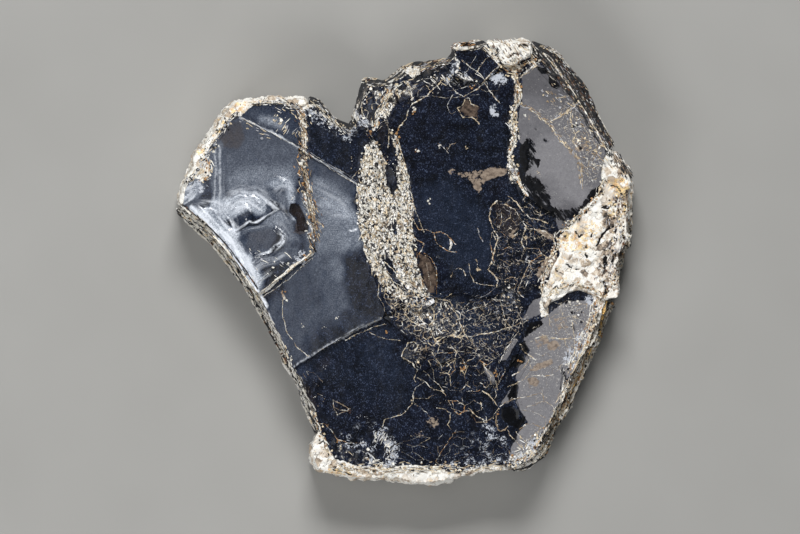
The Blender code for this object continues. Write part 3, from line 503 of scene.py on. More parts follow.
LACE_AREAS = [  # networks of fine cream cracks: outline, softness, strength
    ([(384, 300), (400, 292), (436, 296), (470, 304), (498, 296), (520, 300), (528, 322),
      (516, 348), (498, 362), (470, 356), (440, 352), (410, 368), (398, 352), (412, 338),
      (392, 326)], 1.5, 0.95),
    ([(432, 345), (470, 345), (505, 350), (505, 380), (498, 410), (504, 436), (470, 430),
      (440, 410), (424, 380)], 1.6, 0.55),
    ([(494, 198), (525, 196), (556, 214), (560, 240), (552, 270), (530, 296), (498, 300),
      (492, 280), (492, 250), (494, 222)], 1.4, 0.85),
    ([(532, 112), (560, 100), (576, 100), (600, 130), (606, 160), (594, 190), (584, 188),
      (580, 165), (560, 140), (545, 122)], 1.0, 0.75),
    ([(560, 300), (598, 300), (598, 330), (586, 362), (572, 372), (566, 350), (556, 322)], 1.4,
     0.75),
    ([(440, 66), (470, 80), (500, 62), (508, 78), (500, 100), (470, 100), (445, 90),
      (420, 96), (402, 112), (396, 100), (420, 80)], 1.0, 0.6),
    ([(355, 92), (400, 82), (404, 112), (388, 150), (372, 142), (356, 122)], 1.2, 0.65),
    ([(436, 220), (470, 210), (490, 230), (492, 285), (470, 292), (440, 300), (438, 260)], 2.0,
     0.3),
    ([(300, 358), (330, 372), (330, 412), (312, 414), (300, 390)], 1.2, 0.4),
    ([(530, 320), (560, 330), (556, 356), (530, 350)], 1.2, 0.7),
    ([(524, 352), (560, 350), (578, 356), (560, 396), (522, 400)], 1.2, 0.6),
    ([(540, 395), (572, 386), (560, 420), (545, 436), (530, 430)], 1.4, 0.45),
    ([(400, 395), (440, 400), (458, 440), (430, 462), (384, 452), (382, 426)], 2.0, 0.28),
    ([(256, 290), (296, 300), (296, 350), (282, 352), (266, 318)], 1.6, 0.2),
]

# Raised veins: line, width in millimetres and colour name.
VEINS = [
    ([(354, 125), (362, 127), (369, 133), (377, 144), (385, 154), (393, 163), (400, 174),
      (406, 188)], 0.34, "tan"),
    ([(398, 138), (402, 154), (408, 174), (412, 196), (416, 214), (424, 232)], 0.2, "cream"),
    (LONG_CRACK, 0.26, "white"),
    ([(300, 149), (312, 156), (330, 168), (345, 177), (357, 184)], 0.18, "white"),
    ([(308, 151), (322, 159), (338, 169), (357, 181)], 0.14, "grey"),
    (PLATE_LIP, 0.72, "cream"),
    ([(262, 297), (276, 288), (292, 276), (312, 258)], 0.22, "white"),
    (PLATE_LIP_UPPER, 0.26, "white"),
    ([(256, 292), (266, 284), (280, 272)], 0.14, "grey"),
    ([(282, 300), (283, 315), (287, 332), (295, 345), (303, 352), (309, 357)], 0.22, "cream"),
    (LOWER_STEP, 0.30, "cream"),
    ([(345, 340), (362, 332), (375, 327), (386, 324)], 0.22, "cream"),
    ([(369, 332), (378, 337), (400, 341)], 0.18, "cream"),
    ([(300, 187), (296, 193), (291, 200)], 0.20, "cream"),
    ([(312, 192), (318, 197), (327, 201), (327, 198)], 0.18, "grey"),
    (LEFT_CORNER, 0.34, "white"),
    ([(305, 400), (315, 397), (326, 397), (322, 404), (316, 407), (308, 409)], 0.22, "tan"),
    ([(300, 386), (305, 392), (302, 398)], 0.16, "tan"),
    ([(318, 424), (326, 424), (332, 431), (337, 440), (350, 443), (364, 443)], 0.20, "orange"),
    ([(413, 395), (413, 402), (408, 409), (402, 414), (391, 418), (384, 420), (382, 427)], 0.24,
     "cream"),
    ([(414, 398), (426, 398), (436, 395)], 0.14, "tan"),
    ([(414, 403), (421, 408), (427, 413), (431, 418)], 0.14, "tan"),
    ([(417, 378), (425, 382), (433, 389), (442, 391), (446, 396)], 0.20, "cream"),
    ([(413, 395), (415, 388), (424, 382)], 0.12, "tan"),
    ([(437, 408), (445, 409), (451, 413), (450, 420), (447, 425), (451, 430)], 0.26, "cream"),
    ([(436, 462), (441, 452), (448, 442), (456, 430)], 0.20, "orange"),
    ([(436, 462), (441, 466)], 0.18, "tan"),
    ([(453, 401), (454, 410), (459, 415), (465, 411), (470, 411)], 0.22, "orange"),
    ([(461, 396), (463, 403), (458, 404)], 0.16, "tan"),
    ([(466, 391), (476, 391), (480, 390)], 0.18, "orange"),
    ([(482, 391), (488, 394), (493, 400), (497, 407), (499, 409)], 0.28, "cream"),
    ([(468, 408), (473, 414), (480, 418), (487, 421), (493, 418), (496, 412), (499, 408)], 0.24,
     "cream"),
    ([(481, 402), (482, 410), (477, 412)], 0.22, "cream"),
    ([(497, 415), (496, 423), (499, 431), (505, 430), (508, 426)], 0.30, "tan"),
    ([(508, 430), (511, 436), (516, 441), (522, 448)], 0.22, "cream"),
    ([(516, 432), (521, 437), (527, 442), (533, 446)], 0.22, "cream"),
    ([(500, 407), (506, 402), (514, 398), (530, 396), (541, 393), (543, 400)], 0.24, "tan"),
    ([(520, 430), (526, 424), (534, 423), (541, 427), (538, 434), (530, 436)], 0.22, "tan"),
    ([(526, 408), (532, 406), (538, 403), (546, 402)], 0.16, "tan"),
    ([(546, 402), (552, 406), (555, 413), (554, 420), (550, 426)], 0.22, "cream"),
    ([(530, 372), (525, 378), (516, 384), (508, 388)], 0.18, "cream"),
    ([(521, 344), (524, 352), (530, 356), (536, 360)], 0.30, "cream"),
    ([(530, 358), (525, 366), (520, 372), (512, 376)], 0.26, "cream"),
    ([(527, 375), (532, 377), (538, 376), (546, 376), (553, 375)], 0.26, "tan"),
    ([(483, 364), (488, 371), (495, 380), (498, 390)], 0.28, "cream"),
    ([(505, 372), (500, 381), (496, 388)], 0.18, "orange"),
    ([(500, 362), (506, 350), (514, 338), (519, 332)], 0.22, "white"),
    ([(460, 363), (465, 363), (466, 368), (462, 371), (460, 367)], 0.34, "orange"),
    ([(530, 342), (538, 337), (550, 337), (562, 339), (574, 338), (586, 338)], 0.28, "cream"),
    ([(545, 300), (545, 308), (547, 315), (540, 318), (530, 320), (521, 323)], 0.42, "white"),
    ([(521, 323), (510, 328), (498, 331), (484, 334), (470, 337), (452, 334)], 0.26, "cream"),
    ([(560, 322), (566, 330), (572, 338)], 0.18, "tan"),
    ([(572, 322), (574, 334), (575, 348), (572, 362)], 0.20, "cream"),
    ([(588, 318), (592, 326), (590, 338), (584, 350)], 0.20, "cream"),
    ([(535, 353), (542, 356), (546, 352), (550, 356)], 0.14, "tan"),
    ([(548, 316), (556, 330), (560, 344), (558, 356)], 0.14, "tan"),
    ([(560, 318), (572, 316), (584, 322)], 0.14, "cream"),
    ([(556, 372), (566, 362), (580, 352)], 0.12, "tan"),
    ([(522, 410), (534, 412), (546, 418)], 0.12, "tan"),
    ([(528, 440), (540, 430), (552, 424)], 0.14, "cream"),
    # the dense knot where band and network meet
    ([(437, 300), (442, 299), (448, 296), (452, 294)], 0.20, "cream"),
    ([(437, 300), (436, 305), (433, 310)], 0.20, "cream"),
    ([(446, 302), (452, 308), (457, 315), (459, 322), (464, 332), (468, 340)], 0.26, "cream"),
    ([(425, 302), (421, 308), (419, 315), (422, 322), (429, 326), (434, 320), (434, 311),
      (430, 304)], 0.30, "cream"),
    ([(412, 298), (408, 306), (404, 314), (412, 322), (420, 326), (430, 330)], 0.24, "cream"),
    ([(430, 328), (434, 338), (440, 346), (438, 352)], 0.30, "cream"),
    ([(434, 345), (444, 338), (452, 336), (460, 338), (466, 334)], 0.30, "cream"),
    ([(402, 357), (404, 350), (408, 343), (414, 341), (418, 346), (414, 352)], 0.26, "cream"),
    ([(402, 357), (412, 363), (418, 370)], 0.30, "cream"),
    ([(418, 370), (414, 378), (416, 382)], 0.20, "cream"),
    ([(432, 352), (438, 362), (442, 368), (448, 362), (456, 358)], 0.22, "cream"),
    ([(440, 372), (448, 374), (452, 368), (446, 362)], 0.20, "cream"),
    ([(450, 345), (456, 352), (454, 360), (446, 366)], 0.24, "cream"),
    ([(470, 340), (476, 350), (474, 358), (466, 362)], 0.18, "tan"),
    ([(480, 338), (488, 346), (494, 352), (500, 356)], 0.16, "tan"),
    ([(500, 300), (503, 312), (507, 322), (514, 330), (520, 334)], 0.22, "cream"),
    ([(478, 305), (484, 312), (482, 322), (474, 328)], 0.16, "tan"),
    ([(466, 312), (474, 308), (484, 306), (494, 300), (500, 292)], 0.16, "tan"),
    ([(386, 272), (392, 280), (396, 290), (404, 296), (412, 300)], 0.22, "cream"),
    ([(378, 268), (379, 282), (378, 296), (384, 306), (386, 316)], 0.22, "cream"),
    ([(384, 262), (394, 270), (402, 282), (412, 290), (420, 298)], 0.22, "cream"),
    ([(398, 262), (408, 274), (416, 286), (426, 300)], 0.24, "orange"),
    # loops on the centre plate
    ([(412, 200), (411, 215), (415, 224), (419, 230), (426, 230), (434, 233)], 0.20, "orange"),
    ([(411, 226), (413, 236), (418, 241), (424, 244), (422, 250), (419, 254)], 0.24, "orange"),
    ([(434, 233), (441, 232), (447, 235), (452, 240), (456, 245)], 0.22, "orange"),
    ([(434, 233), (436, 242), (441, 247), (448, 251), (457, 252)], 0.24, "orange"),
    ([(450, 239), (451, 245), (449, 250)], 0.50, "white"),
    ([(451, 277), (453, 271), (458, 268), (463, 269), (465, 276)], 0.20, "tan"),
    ([(478, 228), (480, 236), (483, 242)], 0.26, "grey"),
    ([(469, 264), (470, 274), (474, 282), (482, 284), (490, 285), (497, 286)], 0.22, "cream"),
    ([(476, 259), (478, 266), (480, 271)], 0.22, "cream"),
    ([(497, 200), (491, 207), (489, 217), (494, 230), (498, 238), (495, 250), (491, 262),
      (488, 270), (494, 275), (498, 281), (496, 287)], 0.32, "cream"),
    ([(488, 270), (496, 277), (505, 280), (514, 277), (518, 282), (515, 288), (508, 288)], 0.24,
     "tan"),
    ([(505, 204), (515, 210), (520, 218), (526, 226), (524, 232), (521, 240), (525, 250)], 0.28,
     "cream"),
    ([(508, 196), (516, 202), (522, 210), (530, 218), (540, 220), (548, 224)], 0.26, "cream"),
    ([(524, 228), (534, 229), (545, 232), (553, 238), (557, 246)], 0.32, "cream"),
    ([(557, 250), (552, 255), (545, 260), (536, 263), (528, 260)], 0.26, "tan"),
    ([(530, 262), (526, 272), (520, 284), (518, 292), (524, 298)], 0.24, "tan"),
    ([(498, 285), (490, 292), (480, 298), (470, 300)], 0.16, "grey"),
    ([(512, 238), (518, 232)], 0.5, "tan"),
    ([(501, 212), (502, 220), (500, 228)], 0.24, "tan"),
    ([(492, 262), (498, 268), (504, 268)], 0.18, "tan"),
    # the grey plate's border and its net
    ([(513, 72), (517, 80), (521, 90), (519, 100), (515, 110), (513, 122), (516, 132), (511, 143),
      (513, 150), (510, 158), (514, 166)], 0.32, "cream"),
    ([(518, 176), (520, 186), (526, 194), (524, 200)], 0.36, "cream"),
    ([(520, 77), (530, 72), (540, 60), (546, 54)], 0.20, "cream"),
    ([(531, 111), (540, 115), (546, 122), (552, 128), (558, 137), (566, 147), (574, 154),
      (580, 160), (582, 172), (582, 186)], 0.24, "cream"),
    ([(550, 121), (558, 117), (566, 112), (572, 108), (574, 102), (570, 93)], 0.26, "cream"),
    ([(556, 98), (564, 97), (570, 95)], 0.30, "cream"),
    ([(551, 101), (554, 104)], 0.26, "tan"),
    ([(571, 108), (570, 118), (574, 130), (576, 136), (573, 142), (578, 148), (580, 154)], 0.28,
     "cream"),
    ([(576, 138), (584, 142), (592, 140), (598, 146)], 0.30, "tan"),
    ([(598, 146), (596, 156), (592, 162)], 0.20, "tan"),
    ([(582, 128), (590, 126), (596, 130), (602, 138)], 0.22, "cream"),
    ([(588, 118), (594, 112), (590, 108)], 0.18, "cream"),
    ([(576, 98), (582, 104), (588, 112), (598, 128), (606, 142), (612, 152)], 0.34, "cream"),
    ([(584, 168), (590, 166), (596, 170)], 0.22, "tan"),
    # top plates
    ([(440, 78), (446, 81), (451, 86), (456, 93), (464, 97)], 0.28, "white"),
    ([(464, 97), (471, 92), (478, 88), (483, 82), (491, 75), (500, 66), (505, 60)], 0.30, "cream"),
    ([(484, 82), (489, 89), (494, 96), (500, 104)], 0.26, "white"),
    ([(484, 48), (490, 54), (496, 62), (502, 68)], 0.40, "white"),
    ([(488, 57), (482, 64), (477, 72)], 0.24, "cream"),
    ([(462, 60), (470, 67), (480, 74), (488, 84)], 0.20, "white"),
    ([(476, 56), (470, 66), (462, 76)], 0.18, "grey"),
    ([(500, 64), (492, 72), (486, 78)], 0.16, "white"),
    ([(442, 80), (434, 88), (426, 96), (418, 101), (411, 105), (407, 112), (406, 119), (402, 125),
      (398, 128)], 0.30, "cream"),
    ([(385, 120), (389, 128), (389, 138), (388, 148)], 0.24, "cream"),
    ([(398, 128), (396, 138), (399, 146), (402, 154)], 0.30, "orange"),
    ([(453, 94), (449, 100), (447, 106), (451, 114), (456, 111)], 0.18, "grey"),
    ([(351, 125), (350, 138), (351, 150), (352, 164), (351, 180)], 0.20, "tan"),
    ([(353, 126), (362, 130), (370, 138), (378, 149), (388, 162), (396, 176), (403, 190),
      (409, 206)], 0.26, "orange"),
    ([(351, 180), (356, 172), (362, 168)], 0.14, "tan"),
    ([(457, 108), (462, 105), (465, 98), (469, 98), (471, 104), (478, 107)], 0.24, "cream"),
    ([(457, 108), (463, 117), (472, 117), (478, 121), (480, 124)], 0.28, "cream"),
    ([(447, 150), (450, 145), (456, 143)], 0.20, "tan"),
    ([(438, 143), (444, 147), (449, 153)], 0.20, "grey"),
    ([(424, 253), (431, 258), (436, 268), (437, 280), (436, 294)], 0.18, "orange"),
    ([(418, 252), (416, 262), (420, 275), (426, 292)], 0.14, "orange"),
    ([(427, 262), (428, 274), (431, 288)], 0.08, "tan"),
    ([(333, 400), (342, 404), (350, 409), (344, 412), (337, 415), (334, 409), (333, 400)], 0.22,
     "tan"),
    ([(334, 407), (340, 410), (348, 411)], 0.20, "tan"),
]
# Broken layers that run along the outer edge: line, width in millimetres and colour name.
EDGE_LAYERS = [
    ([(185, 206), (193, 213), (202, 221), (214, 232), (227, 245), (237, 259), (248, 274),
      (258, 289)], 0.32, "black"),
    ([(186, 210), (196, 219), (206, 229), (217, 239), (227, 250), (237, 264), (247, 279),
      (255, 292)], 0.40, "white"),
    ([(200, 225), (212, 236), (223, 248), (234, 263), (244, 279), (253, 294)], 0.30, "black"),
    ([(184, 213), (195, 224), (206, 235), (217, 246), (227, 258), (237, 272), (246, 286)], 0.50,
     "white"),
    ([(182, 212), (190, 221), (197, 228)], 0.40, "black"),
    ([(199, 231), (207, 239), (213, 245)], 0.36, "black"),
    ([(216, 248), (223, 256), (230, 265)], 0.40, "black"),
    ([(232, 269), (238, 277), (243, 285)], 0.36, "black"),
    ([(187, 223), (197, 232), (208, 241), (220, 254), (229, 266), (239, 280)], 0.45, "white"),
    ([(252, 298), (262, 316), (272, 336), (283, 356), (293, 374)], 0.45, "black"),
    ([(254, 305), (264, 323), (275, 343), (286, 364)], 0.40, "white"),
    ([(294, 382), (299, 396), (305, 410), (312, 424)], 0.50, "white"),
    ([(612, 290), (606, 302), (603, 314), (601, 326), (599, 336)], 0.55, "amber"),
    ([(607, 290), (602, 304), (598, 318), (596, 332), (590, 346)], 0.80, "white"),
    ([(616, 294), (610, 307), (605, 320)], 0.40, "white"),
    ([(598, 342), (592, 354), (586, 368), (578, 384), (570, 402), (560, 420)], 0.70, "white"),
    ([(592, 348), (584, 364), (578, 378), (570, 394)], 0.35, "amber"),
    ([(556, 426), (550, 439), (543, 452), (532, 464)], 0.60, "white"),
    ([(546, 49), (562, 66), (579, 88), (595, 116), (609, 142), (621, 164)], 0.35, "black"),
    ([(549, 48), (565, 65), (582, 87), (598, 114), (612, 140), (624, 161)], 0.28, "white"),
    ([(552, 50), (568, 69), (584, 91), (599, 117), (613, 142), (624, 163)], 0.30, "black"),
    ([(543, 53), (558, 70), (573, 91), (589, 118), (603, 143), (615, 164)], 0.30, "white"),
    ([(540, 56), (555, 73), (570, 94), (586, 120), (600, 145)], 0.30, "black"),
]
# The specimen's torn outer edge, in pixels: the right side and bottom, and the left side.
OUTER_EDGES = [
    [(540, 43), (555, 48), (562, 55), (576, 73), (589, 90), (595, 105), (605, 125), (615, 146),
     (627, 162), (632, 169), (634, 183), (633, 210), (633, 238), (628, 249), (624, 256),
     (622, 268), (620, 293), (611, 312), (603, 328), (601, 340), (590, 362), (579, 390),
     (569, 412), (565, 419), (557, 428), (545, 457), (528, 471), (490, 470), (452, 480),
     (428, 487), (390, 482), (352, 481), (315, 471), (307, 457), (310, 437), (315, 431),
     (307, 417), (297, 385), (280, 362)],
    [(248, 290), (232, 273), (220, 257), (205, 235), (195, 231), (183, 222), (177, 210),
     (175, 197), (178, 187), (187, 167), (192, 152), (201, 142), (210, 128), (218, 115),
     (227, 103), (237, 99), (265, 95), (307, 96), (320, 99)],
]
# Paler edges of the sheets: outline, softness in millimetres, strength.
PALE_AREAS = [
    ([(170, 195), (196, 202), (236, 250), (262, 290), (312, 408), (304, 430), (262, 350),
      (230, 290), (168, 224)], 1.0, 1.0),
    ([(606, 290), (626, 290), (604, 360), (560, 434), (545, 424), (588, 350)], 1.0, 0.7),
    ([(300, 425), (330, 445), (540, 455), (540, 490), (300, 495)], 1.0, 0.7),
]
# Mixtures of the colours of loose pieces.
PEPPER = ("black", "black", "white", "white", "cream", "grey")
CHALKY = ("white", "white", "white", "cream", "cream", "orange", "black")
RUSTY = ("white", "cream", "cream", "orange", "tan", "black")
LAYERS = ("black",) * 4 + ("white",) * 6 + ("cream",)
SHREDS = ("black",) * 12 + ("brown", "brown", "tan", "grey", "cream")
TWIGS = ("tan", "tan", "brown", "cream", "black", "black", "orange")
# Loose pieces: line, half width in millimetres, pieces in each millimetre, colours, share of long
# slivers, and their bearing in degrees where it isn't the line's.
RUBBLE = [
    ([(238, 114), (228, 119), (222, 129), (217, 138), (210, 149), (204, 159), (199, 169),
      (192, 177), (186, 184)], 0.9, 9, PEPPER, 0.5, None),
    ([(206, 158), (209, 168), (208, 177), (201, 181)], 0.8, 9, CHALKY, 0.5, None),
    ([(252, 104), (268, 102), (285, 103), (298, 107)], 0.5, 7, PEPPER, 0.6, None),
    ([(296, 112), (290, 104), (276, 106)], 1.4, 7, ("white", "cream", "grey", "black"), 0.7, -30),
    ([(276, 112), (284, 124), (292, 136)], 1.6, 3, ("white", "grey", "cream"), 0.8, 50),
    ([(252, 124), (262, 132), (268, 138)], 1.0, 2, ("grey", "cream"), 0.8, -30),
    ([(246, 262), (262, 268), (290, 256)], 2.4, 2, ("white", "grey"), 0.8, -45),
    ([(312, 102), (321, 108), (332, 119), (343, 129), (351, 133)], 0.7, 8, PEPPER, 0.6, None),
    ([(305, 110), (318, 114), (332, 124), (344, 134)], 0.9, 5, ("white", "grey", "black"), 0.6,
     None),
    ([(354, 98), (352, 112), (353, 126)], 0.4, 5, PEPPER, 0.7, None),
    ([(356, 112), (362, 118), (369, 124)], 0.7, 4, ("grey", "white", "grey"), 0.9, -50),
    ([(362, 84), (378, 86), (392, 88), (404, 84), (418, 78)], 1.6, 3.5, PEPPER, 0.5, None),
    ([(390, 90), (384, 102), (378, 114), (374, 128)], 0.9, 7, CHALKY, 0.4, None),
    ([(420, 68), (434, 62), (449, 59)], 1.1, 16, ("brown", "tan", "black", "cream", "grey"), 1.0,
     20),
    ([(362, 79), (380, 77), (398, 69), (414, 63)], 0.4, 8, ("white", "black", "brown", "cream"),
     0.9, None),
    ([(428, 88), (444, 78), (462, 76), (478, 82)], 1.6, 6, PEPPER, 0.7, -40),
    ([(450, 46), (462, 43), (474, 44)], 0.5, 10, ("white", "orange", "black", "brown"), 0.9, None),
    ([(484, 46), (492, 54), (500, 62)], 0.7, 8, PEPPER, 0.7, None),
    ([(490, 46), (508, 50), (524, 52), (536, 50)], 3.2, 16,
     ("white", "white", "white", "grey", "cream", "tan", "brown", "black"), 1.0, -50),
    ([(500, 66), (512, 70), (524, 66), (536, 58)], 1.3, 10, RUSTY, 0.7, None),
    ([(515, 74), (519, 86), (519, 100), (515, 112), (514, 124), (516, 134), (512, 146),
      (511, 158), (514, 170), (520, 184), (526, 194)], 0.5, 5, CHALKY, 0.5, None),
    ([(514, 122), (515, 134), (512, 146)], 0.9, 7, CHALKY, 0.5, None),
    ([(547, 48), (566, 66), (586, 94), (603, 124), (618, 154), (631, 178)], 2.3, 18, SHREDS, 1.0,
     None),
    ([(540, 46), (560, 54), (578, 74)], 0.6, 5, ("white", "cream", "grey", "black"), 1.0, None),
    ([(574, 82), (586, 94), (594, 104)], 0.9, 14, ("black", "black", "black", "brown", "grey"), 0.7,
     None),
    ([(607, 178), (599, 194), (587, 209), (573, 221), (560, 235), (555, 250), (548, 266),
      (541, 284), (542, 294)], 0.7, 9, CHALKY, 0.35, None),
    ([(545, 298), (556, 289), (575, 284), (592, 288), (603, 297)], 0.6, 9, CHALKY, 0.35, None),
    ([(519, 104), (536, 112), (550, 124), (562, 140), (574, 152), (581, 166), (582, 188)], 0.45, 4,
     ("tan", "tan", "cream", "grey", "grey"), 0.7, None),
    ([(556, 118), (570, 110), (578, 104)], 0.3, 6, ("tan", "cream", "grey"), 0.8, None),
    ([(562, 370), (565, 380), (562, 390)], 0.3, 8, ("black", "black", "white"), 1.0, None),
    ([(560, 402), (566, 392), (572, 384)], 0.5, 6, ("white", "cream"), 0.8, None),
    ([(558, 76), (576, 98), (592, 120), (604, 146)], 0.8, 6, SHREDS, 0.9, None),
    ([(542, 94), (560, 98), (575, 106), (585, 120), (596, 140), (600, 165)], 2.4, 4,
     ("cream", "tan", "grey"), 0.6, -40),
    ([(604, 294), (597, 322), (586, 350), (573, 378), (560, 408), (548, 434)], 1.1, 12, RUSTY, 0.7,
     None),
    ([(616, 300), (606, 322), (598, 345), (585, 370), (574, 394), (562, 419), (551, 440),
      (541, 458)], 1.0, 15, CHALKY, 0.5, None),
    ([(293, 382), (300, 400), (307, 416), (313, 428)], 0.8, 12,
     ("white", "white", "white", "grey", "black"), 0.8, None),
    ([(598, 296), (592, 320), (580, 345), (568, 372)], 1.0, 6, CHALKY, 0.5, None),
    ([(544, 436), (534, 452), (522, 462), (508, 466)], 1.2, 10, CHALKY, 0.5, None),
    ([(330, 464), (352, 468), (380, 470), (410, 469), (440, 469), (475, 469), (508, 468)], 1.2, 9,
     ("white", "white", "cream", "cream", "tan", "black"), 0.6, None),
    ([(312, 412), (318, 426), (323, 440), (331, 455)], 0.6, 7, CHALKY, 0.5, None),
    ([(181, 207), (199, 222), (221, 246), (239, 271), (254, 295), (270, 325), (286, 355),
      (297, 380), (307, 405)], 0.8, 9, LAYERS, 0.95, None),
    ([(178, 210), (196, 228), (218, 252), (236, 278), (252, 304)], 0.9, 9, LAYERS, 0.9, None),
    ([(374, 438), (384, 434), (392, 446), (386, 458)], 1.3, 10, ("white", "grey", "black"), 0.6,
     60),
    ([(366, 450), (376, 462), (392, 464)], 1.0, 8, ("white", "grey", "black"), 0.6, None),
    ([(299, 108), (303, 122), (303, 148), (302, 166), (306, 186), (310, 200), (314, 215),
      (316, 232), (311, 250)], 1.1, 9, TWIGS, 0.9, -60),
    ([(300, 112), (304, 140), (304, 170), (310, 200), (315, 230)], 0.5, 4,
     ("cream", "white", "tan"), 0.7, None),
    ([(614, 196), (621, 215), (621, 240), (613, 268), (605, 290)], 2.4, 12,
     ("tan", "grey", "cream", "white", "black", "brown"), 0.3, None),
    ([(634, 190), (634, 228), (622, 264), (612, 288)], 0.6, 9, CHALKY, 0.5, None),
]
# Networks of fine veins: outline, cell size and vein width in millimetres, share of the
# borders that carry a vein, colours.
NETWORKS = [
    ([(384, 298), (400, 290), (430, 292), (452, 300), (470, 312), (466, 336), (440, 348),
      (412, 346), (396, 330), (385, 316)], 1.8, 0.28, 0.8, ("cream", "cream", "white", "tan")),
    ([(376, 258), (396, 282), (412, 296), (428, 296), (424, 318), (398, 322), (386, 306),
      (378, 288)], 1.4, 0.26, 0.9, ("cream", "cream", "white", "tan")),
    ([(452, 300), (500, 296), (524, 304), (526, 326), (510, 350), (480, 356), (446, 350),
      (466, 334)], 1.8, 0.15, 0.65, ("cream", "tan", "white")),
    ([(405, 338), (440, 346), (480, 352), (508, 352), (505, 380), (500, 408), (508, 436),
      (490, 444), (462, 420), (440, 404), (424, 384), (410, 366)], 3.5, 0.22, 0.65,
     ("tan", "cream", "cream", "orange")),
    ([(405, 338), (440, 346), (480, 352), (508, 352), (508, 380), (500, 400), (470, 396),
      (440, 390), (418, 372)], 1.5, 0.12, 0.36, ("tan", "cream", "grey")),
    ([(490, 200), (520, 196), (548, 212), (558, 236), (550, 268), (530, 294), (498, 298),
      (488, 270)], 3.8, 0.22, 0.65, ("tan", "cream", "orange")),
    ([(494, 204), (520, 200), (548, 216), (556, 236), (546, 264), (528, 290), (500, 292),
      (492, 262)], 1.6, 0.12, 0.35, ("tan", "grey", "cream")),
    ([(556, 98), (574, 100), (592, 122), (604, 146), (606, 170), (590, 188), (584, 176),
      (580, 160), (564, 138), (556, 118)], 1.8, 0.18, 0.75, ("tan", "cream")),
    ([(548, 300), (596, 300), (600, 318), (588, 350), (566, 356), (548, 340)], 1.7, 0.16, 0.65,
     ("tan", "cream", "grey")),
    ([(524, 350), (566, 352), (584, 356), (566, 396), (520, 420), (520, 384)], 2.6, 0.12, 0.45,
     ("tan", "cream", "white")),
    ([(548, 392), (568, 384), (560, 414), (545, 436), (532, 440)], 2.6, 0.15, 0.5, ("tan",
                                                                                    "cream")),
    ([(398, 82), (430, 72), (446, 66), (470, 80), (500, 74), (508, 90), (498, 104), (470, 96),
      (440, 88), (410, 104), (398, 98)], 2.6, 0.15, 0.5, ("white", "cream", "grey")),
    ([(356, 92), (384, 84), (398, 96), (390, 120), (380, 142), (368, 136), (356, 120)], 1.9, 0.22,
     0.6, ("cream", "tan", "white")),
    ([(444, 424), (500, 436), (524, 462), (440, 466), (380, 460), (384, 438), (420, 444)], 2.2,
     0.12, 0.45, ("grey", "tan", "cream")),
    ([(300, 364), (326, 372), (330, 404), (314, 414), (302, 392)], 2.2, 0.10, 0.35, ("tan",
                                                                                     "brown")),
    ([(440, 296), (470, 290), (492, 296), (496, 302), (452, 304)], 1.4, 0.1, 0.5, ("tan", "grey")),
]
# Small bright flecks: pixel, size in millimetres and colour name.
FLECKS = [
    (277, 116, 0.6, "white"), (281, 120, 0.7, "white"), (285, 127, 0.9, "white"),
    (247, 127, 0.7, "cream"), (241, 121, 0.5, "grey"), (275, 176, 0.4, "grey"),
    (299, 157, 0.8, "orange"), (299, 173, 1.0, "orange"), (304, 184, 1.0, "orange"),
    (309, 217, 1.1, "orange"), (311, 235, 0.8, "orange"), (305, 258, 1.1, "orange"),
    (302, 163, 1.6, "white"), (302, 326, 0.5, "white"), (337, 319, 0.6, "white"),
    (284, 298, 0.9, "white"), (283, 293, 0.7, "orange"), (323, 328, 0.3, "white"),
    (418, 151, 1.0, "white"), (416, 150, 0.7, "brown"), (441, 145, 0.8, "white"),
    (412, 98, 1.2, "white"), (414, 109, 1.0, "white"), (415, 112, 0.7, "orange"),
    (472, 87, 0.9, "orange"), (467, 147, 0.6, "cream"), (429, 201, 0.9, "white"),
    (370, 131, 1.2, "orange"), (398, 132, 1.1, "orange"), (478, 270, 0.9, "cream"),
    (514, 172, 2.0, "grey"), (517, 166, 0.9, "cream"), (518, 174, 1.2, "brown"),
    (539, 173, 0.5, "cream"), (463, 370, 0.9, "orange"), (484, 421, 0.6, "white"),
    (498, 413, 0.7, "orange"), (546, 446, 1.2, "orange"), (339, 441, 0.9, "orange"),
    (413, 400, 0.8, "cream"), (387, 332, 0.8, "orange"), (463, 372, 0.8, "cream"),
    (525, 115, 0.7, "white"), (360, 417, 0.4, "grey"), (367, 418, 0.4, "grey"),
    (324, 367, 0.4, "grey"), (525, 237, 0.9, "cream"), (526, 258, 1.0, "grey"),
    (350, 411, 0.6, "brown"), (496, 374, 0.8, "orange"), (520, 362, 0.9, "orange"),
]

# Red, green and blue from 0 to 1 for each colour name.
COLOURS = {
    "white": (0.90, 0.87, 0.80), "cream": (0.74, 0.62, 0.44), "tan": (0.36, 0.27, 0.18),
    "orange": (0.46, 0.25, 0.10), "brown": (0.12, 0.05, 0.02), "grey": (0.42, 0.43, 0.47),
    "black": (0.006, 0.006, 0.009), "amber": (0.85, 0.55, 0.2),
}


# ---------------------------------------------------------------- lines, areas and noise

def smoothstep(low, high, value):
    share = np.clip((value - low) / (high - low), 0.0, 1.0)
    return share * share * (3 - 2 * share)


def resampled(points, step, closed=False):
    """Points evenly spaced along a line, about a step apart."""
    points = np.asarray(points, float)
    if closed:
        points = np.vstack([points, points[:1]])
    legs = np.sqrt((np.diff(points, axis=0) ** 2).sum(axis=1))
    along = np.concatenate([[0.0], np.cumsum(legs)])
    count = max(3 if closed else 1, round(along[-1] / step))
    wanted = np.linspace(0.0, along[-1], count + 1)
    if closed:
        wanted = wanted[:-1]
    return np.stack([np.interp(wanted, along, column) for column in points.T], axis=1)


def sideways(points, closed=False):
    """Unit vectors to the left of a line at each of its points."""
    if closed:
        along = np.roll(points, -1, axis=0) - np.roll(points, 1, axis=0)
    else:
        along = np.gradient(points, axis=0)
    along = along / np.maximum(np.linalg.norm(along, axis=1, keepdims=True), 1e-9)
    return np.stack([-along[:, 1], along[:, 0]], axis=1)


